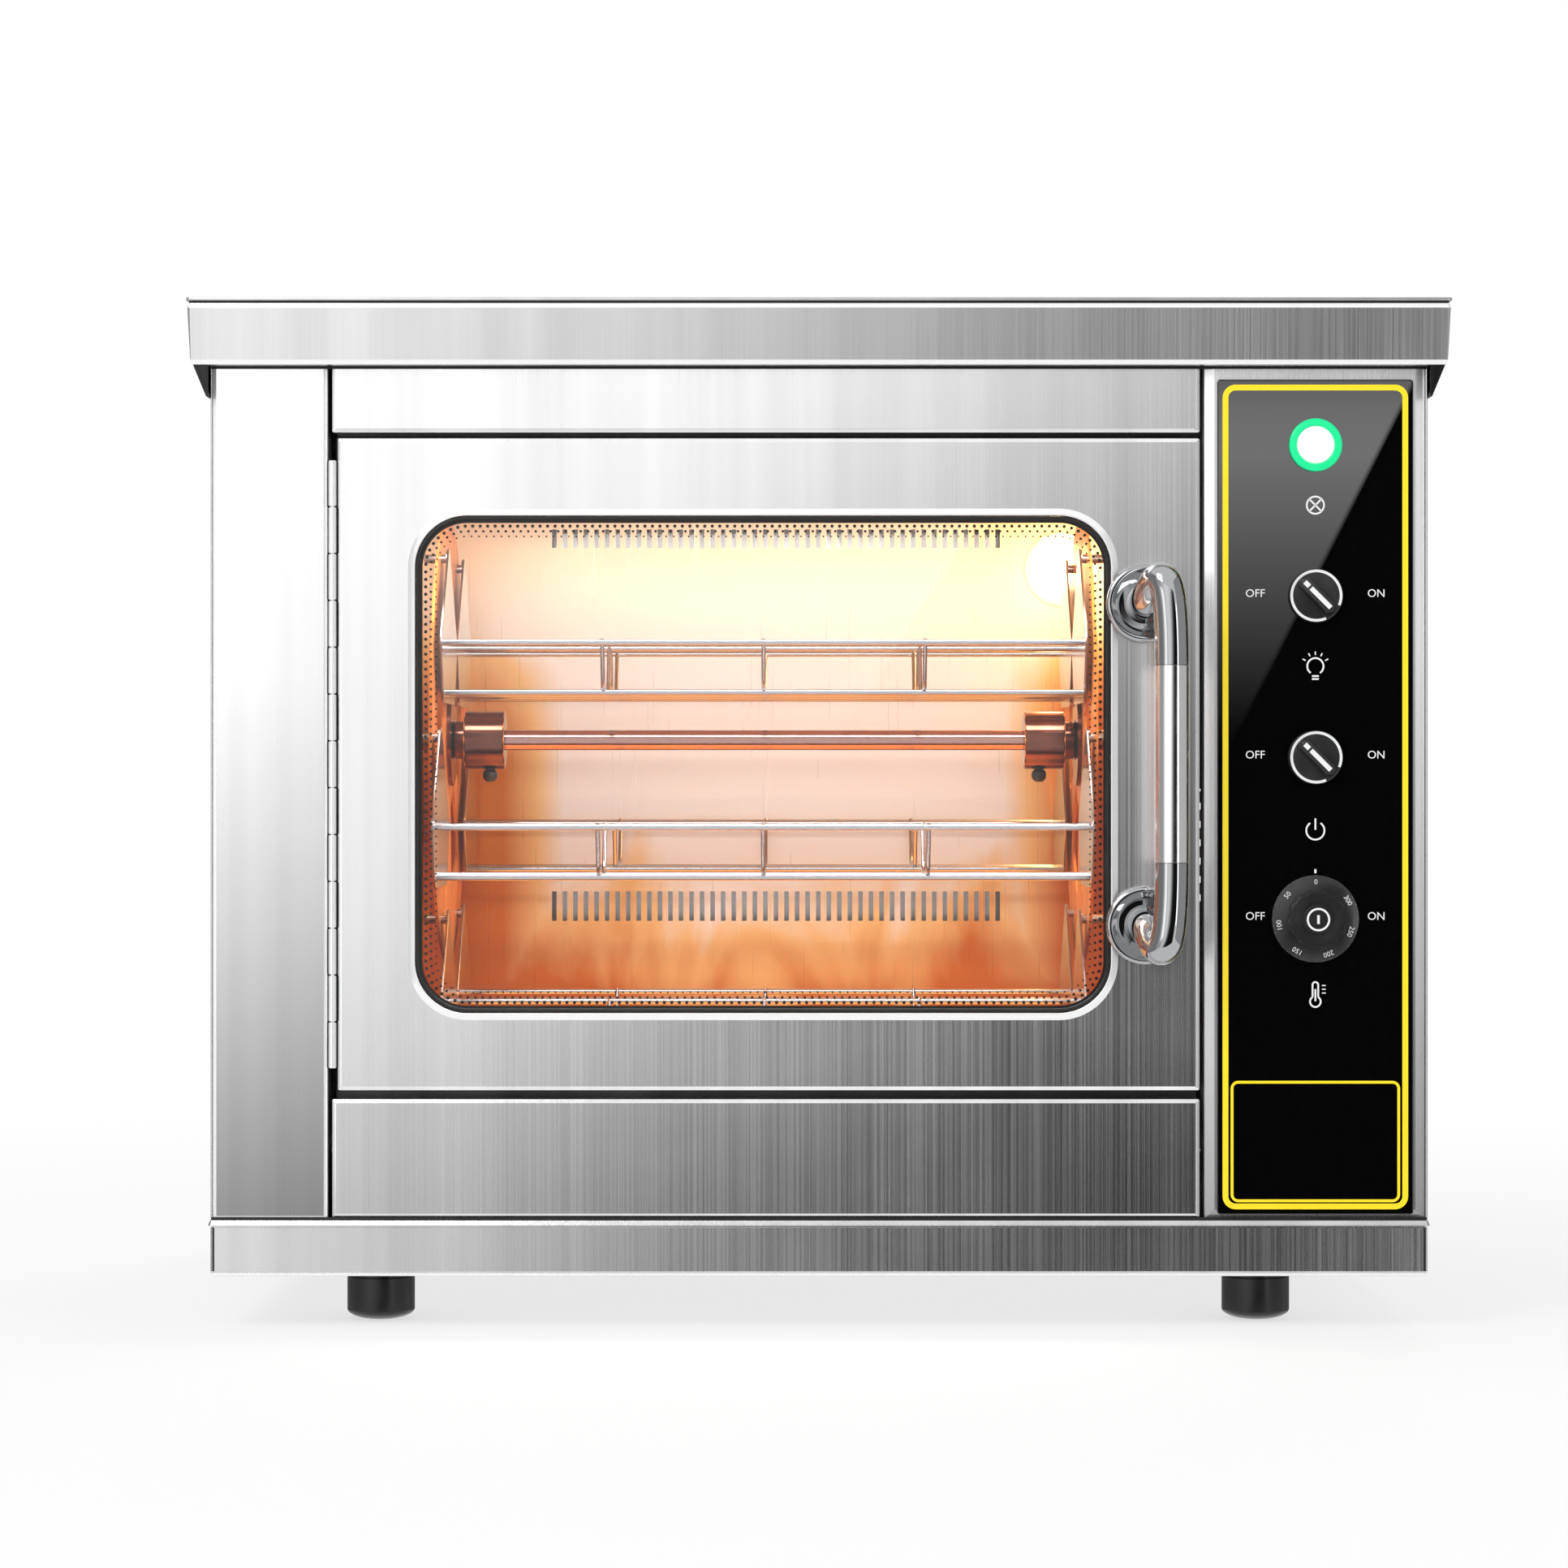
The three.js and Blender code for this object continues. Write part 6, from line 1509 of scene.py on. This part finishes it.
def cardFinish(s):
    # rough steel mirrors the graduated levels, and the sharp mirrors, glass and lacquer, the panes
    material, tree = bareMaterial("graduatedCard")
    parts = objectParts(tree)
    along = mathOf(tree, "ADD", mathOf(tree, "MULTIPLY", parts["X"], s["alongX"]),
                   mathOf(tree, "MULTIPLY", parts["Z"], s["alongZ"]))
    ramp = tree.nodes.new("ShaderNodeValToRGB")
    tree.links.new(mathOf(tree, "ADD", along, s["start"]), ramp.inputs["Fac"])
    for _ in range(len(s["levels"]) - 2):
        ramp.color_ramp.elements.new(0.5)
    for element, (position, level) in zip(ramp.color_ramp.elements, s["levels"].items()):
        element.position = position
        element.color = (level, level, level, 1)
    panes = [paneLevel(tree, parts, pane) for pane in paneSet.values()]
    sharpRay = tree.nodes.new("ShaderNodeLightPath").outputs["Is Singular Ray"]
    glow, veil = emitter(tree), emitter(tree)
    tree.links.new(ramp.outputs["Color"], glow.inputs["Color"])
    tree.links.new(mathOf(tree, "ADD", *panes), veil.inputs["Strength"])
    surfaceFrom(tree, mixedShader(tree, sharpRay, glow, veil))
    return material


def levelFinish(name, level):
    material, tree = bareMaterial(name)
    surfaceFrom(tree, emitter(tree, level))
    return material


def onlyReflected(made):
    made.visible_camera = made.visible_diffuse = made.visible_shadow = made.visible_transmission = False


s = stageSet["floor"] / 2
floor = plane("floor", [(-s, -s, 0), (s, -s, 0), (s, s, 0), (-s, s, 0)], floorFinish())
floor.visible_glossy = False
y = stageSet["cardY"]
(x0, x1), (z0, z1) = cardSet["x"], cardSet["z"]
onlyReflected(plane("card", [(x0, y, z0), (x1, y, z0), (x1, y, z1), (x0, y, z1)], cardFinish(cardSet)))
# cards that stand round the object, by the angles they cover as seen from above, and how bright they are
ring = {
    "leftFar": {"angles": (-118.0, -62.0), "level": 0.34, "low": -1.2, "high": 3.0, "radius": 4.4},
    "leftSide": {"angles": (-62.0, -40.0), "level": 0.62, "low": -1.2, "high": 3.0, "radius": 4.4},
    "leftStrip": {"angles": (-50.0, -33.0), "level": 1.9, "low": -0.3, "high": 1.1, "radius": 4.3},
    "rightDark": {"angles": (27.0, 34.5), "level": 0.05, "low": -0.5, "high": 1.2, "radius": 4.3},
    "rightStrip": {"angles": (34.5, 43.0), "level": 2.4, "low": -0.5, "high": 1.2, "radius": 4.3},
    "rightFlag": {"angles": (46.0, 74.0), "level": 0.04, "low": -0.5, "high": 1.2, "radius": 4.3},
    "rightSide": {"angles": (46.0, 118.0), "level": 0.48, "low": -1.2, "high": 3.0, "radius": 4.4},
    "rearRight": {"angles": (118.0, 180.0), "level": 0.26, "low": -1.2, "high": 2.1, "radius": 4.4},
    "rearLeft": {"angles": (180.0, 242.0), "level": 0.26, "low": -1.2, "high": 2.1, "radius": 4.4},
}
for name, value in ring.items():
    ends = []
    for angle in np.radians(value["angles"]).tolist():
        ends.append((value["radius"] * math.sin(angle), frontY - value["radius"] * math.cos(angle)))
    (left, right), (base, top) = ends, (value["low"], value["high"])
    corners = [(*left, base), (*right, base), (*right, top), (*left, top)]
    onlyReflected(plane(name, corners, levelFinish(name, value["level"])))

world = bpy.data.worlds.new("studio")
bpy.context.scene.world = world
world.use_nodes = True
tree = world.node_tree
ambient, seen = tree.nodes["Background"], tree.nodes.new("ShaderNodeBackground")
for node, level in ((ambient, stageSet["world"]), (seen, 1.0)):
    node.inputs["Color"].default_value = (1, 1, 1, 1)
    node.inputs["Strength"].default_value = level
choose = mixedShader(tree, viewRays(tree), ambient, seen)
tree.links.new(choose.outputs[0], tree.nodes["World Output"].inputs["Surface"])


def addLight(name, kind, value):
    data = bpy.data.lights.new(name, kind)
    data.energy = value["power"]
    data.color = value["color"]
    holder = linked(name, data)
    holder.location = value["place"]
    return data, holder


lampSet = {
    "key": {"place": (-1.7, -2.3, 2.3), "size": 1.5, "power": 42.0, "color": (1.0, 1.0, 1.0)},
    "fill": {"place": (2.2, -2.0, 1.3), "size": 1.2, "power": 12.0, "color": (1.0, 1.0, 1.0)},
    "rear": {"place": (0.6, 2.4, 2.0), "size": 1.4, "power": 22.0, "color": (1.0, 1.0, 1.0)},
}
for name, value in lampSet.items():
    data, holder = addLight(name, "AREA", value)
    data.size = value["size"]
    # only the key lamp shows in the steel; each lamp's own -Z points at the middle of the object
    holder.visible_glossy = name == "key"
    aim = np.array([0.0, 0.0, 0.33]) - np.array(value["place"])
    holder.rotation_euler = (math.acos(-aim[2] / np.linalg.norm(aim)), 0, math.atan2(-aim[0], aim[1]))

# inside the oven: the lamp, the glow of the heaters from below, and a fill under the roof
ovenSet = {
    "ovenLamp": {"power": 0.36, "color": (1.0, 0.62, 0.22), "place": (lampX, lampLow[1] - 0.022, lampZ),
                 "radius": 0.018},
    "heaterGlow": {"power": 0.7, "color": (1.0, 0.42, 0.10), "place": (*middle("liner_floor")[:2], 0.137),
                   "size": (0.42, 0.3), "tilt": 180},
    "roofLight": {"power": 1.5, "color": (1.0, 0.96, 0.93), "place": (middle("liner_roof")[0], -0.15, 0.545),
                  "size": (0.45, 0.07), "tilt": 15},
}
for name, value in ovenSet.items():
    data, holder = addLight(name, "AREA" if "size" in value else "POINT", value)
    if "size" in value:
        data.shape = "RECTANGLE"
        data.size, data.size_y = value["size"]
        holder.rotation_euler = (math.radians(value["tilt"]), 0, 0)
    else:
        data.shadow_soft_size = value["radius"]
print("stage and lights done")
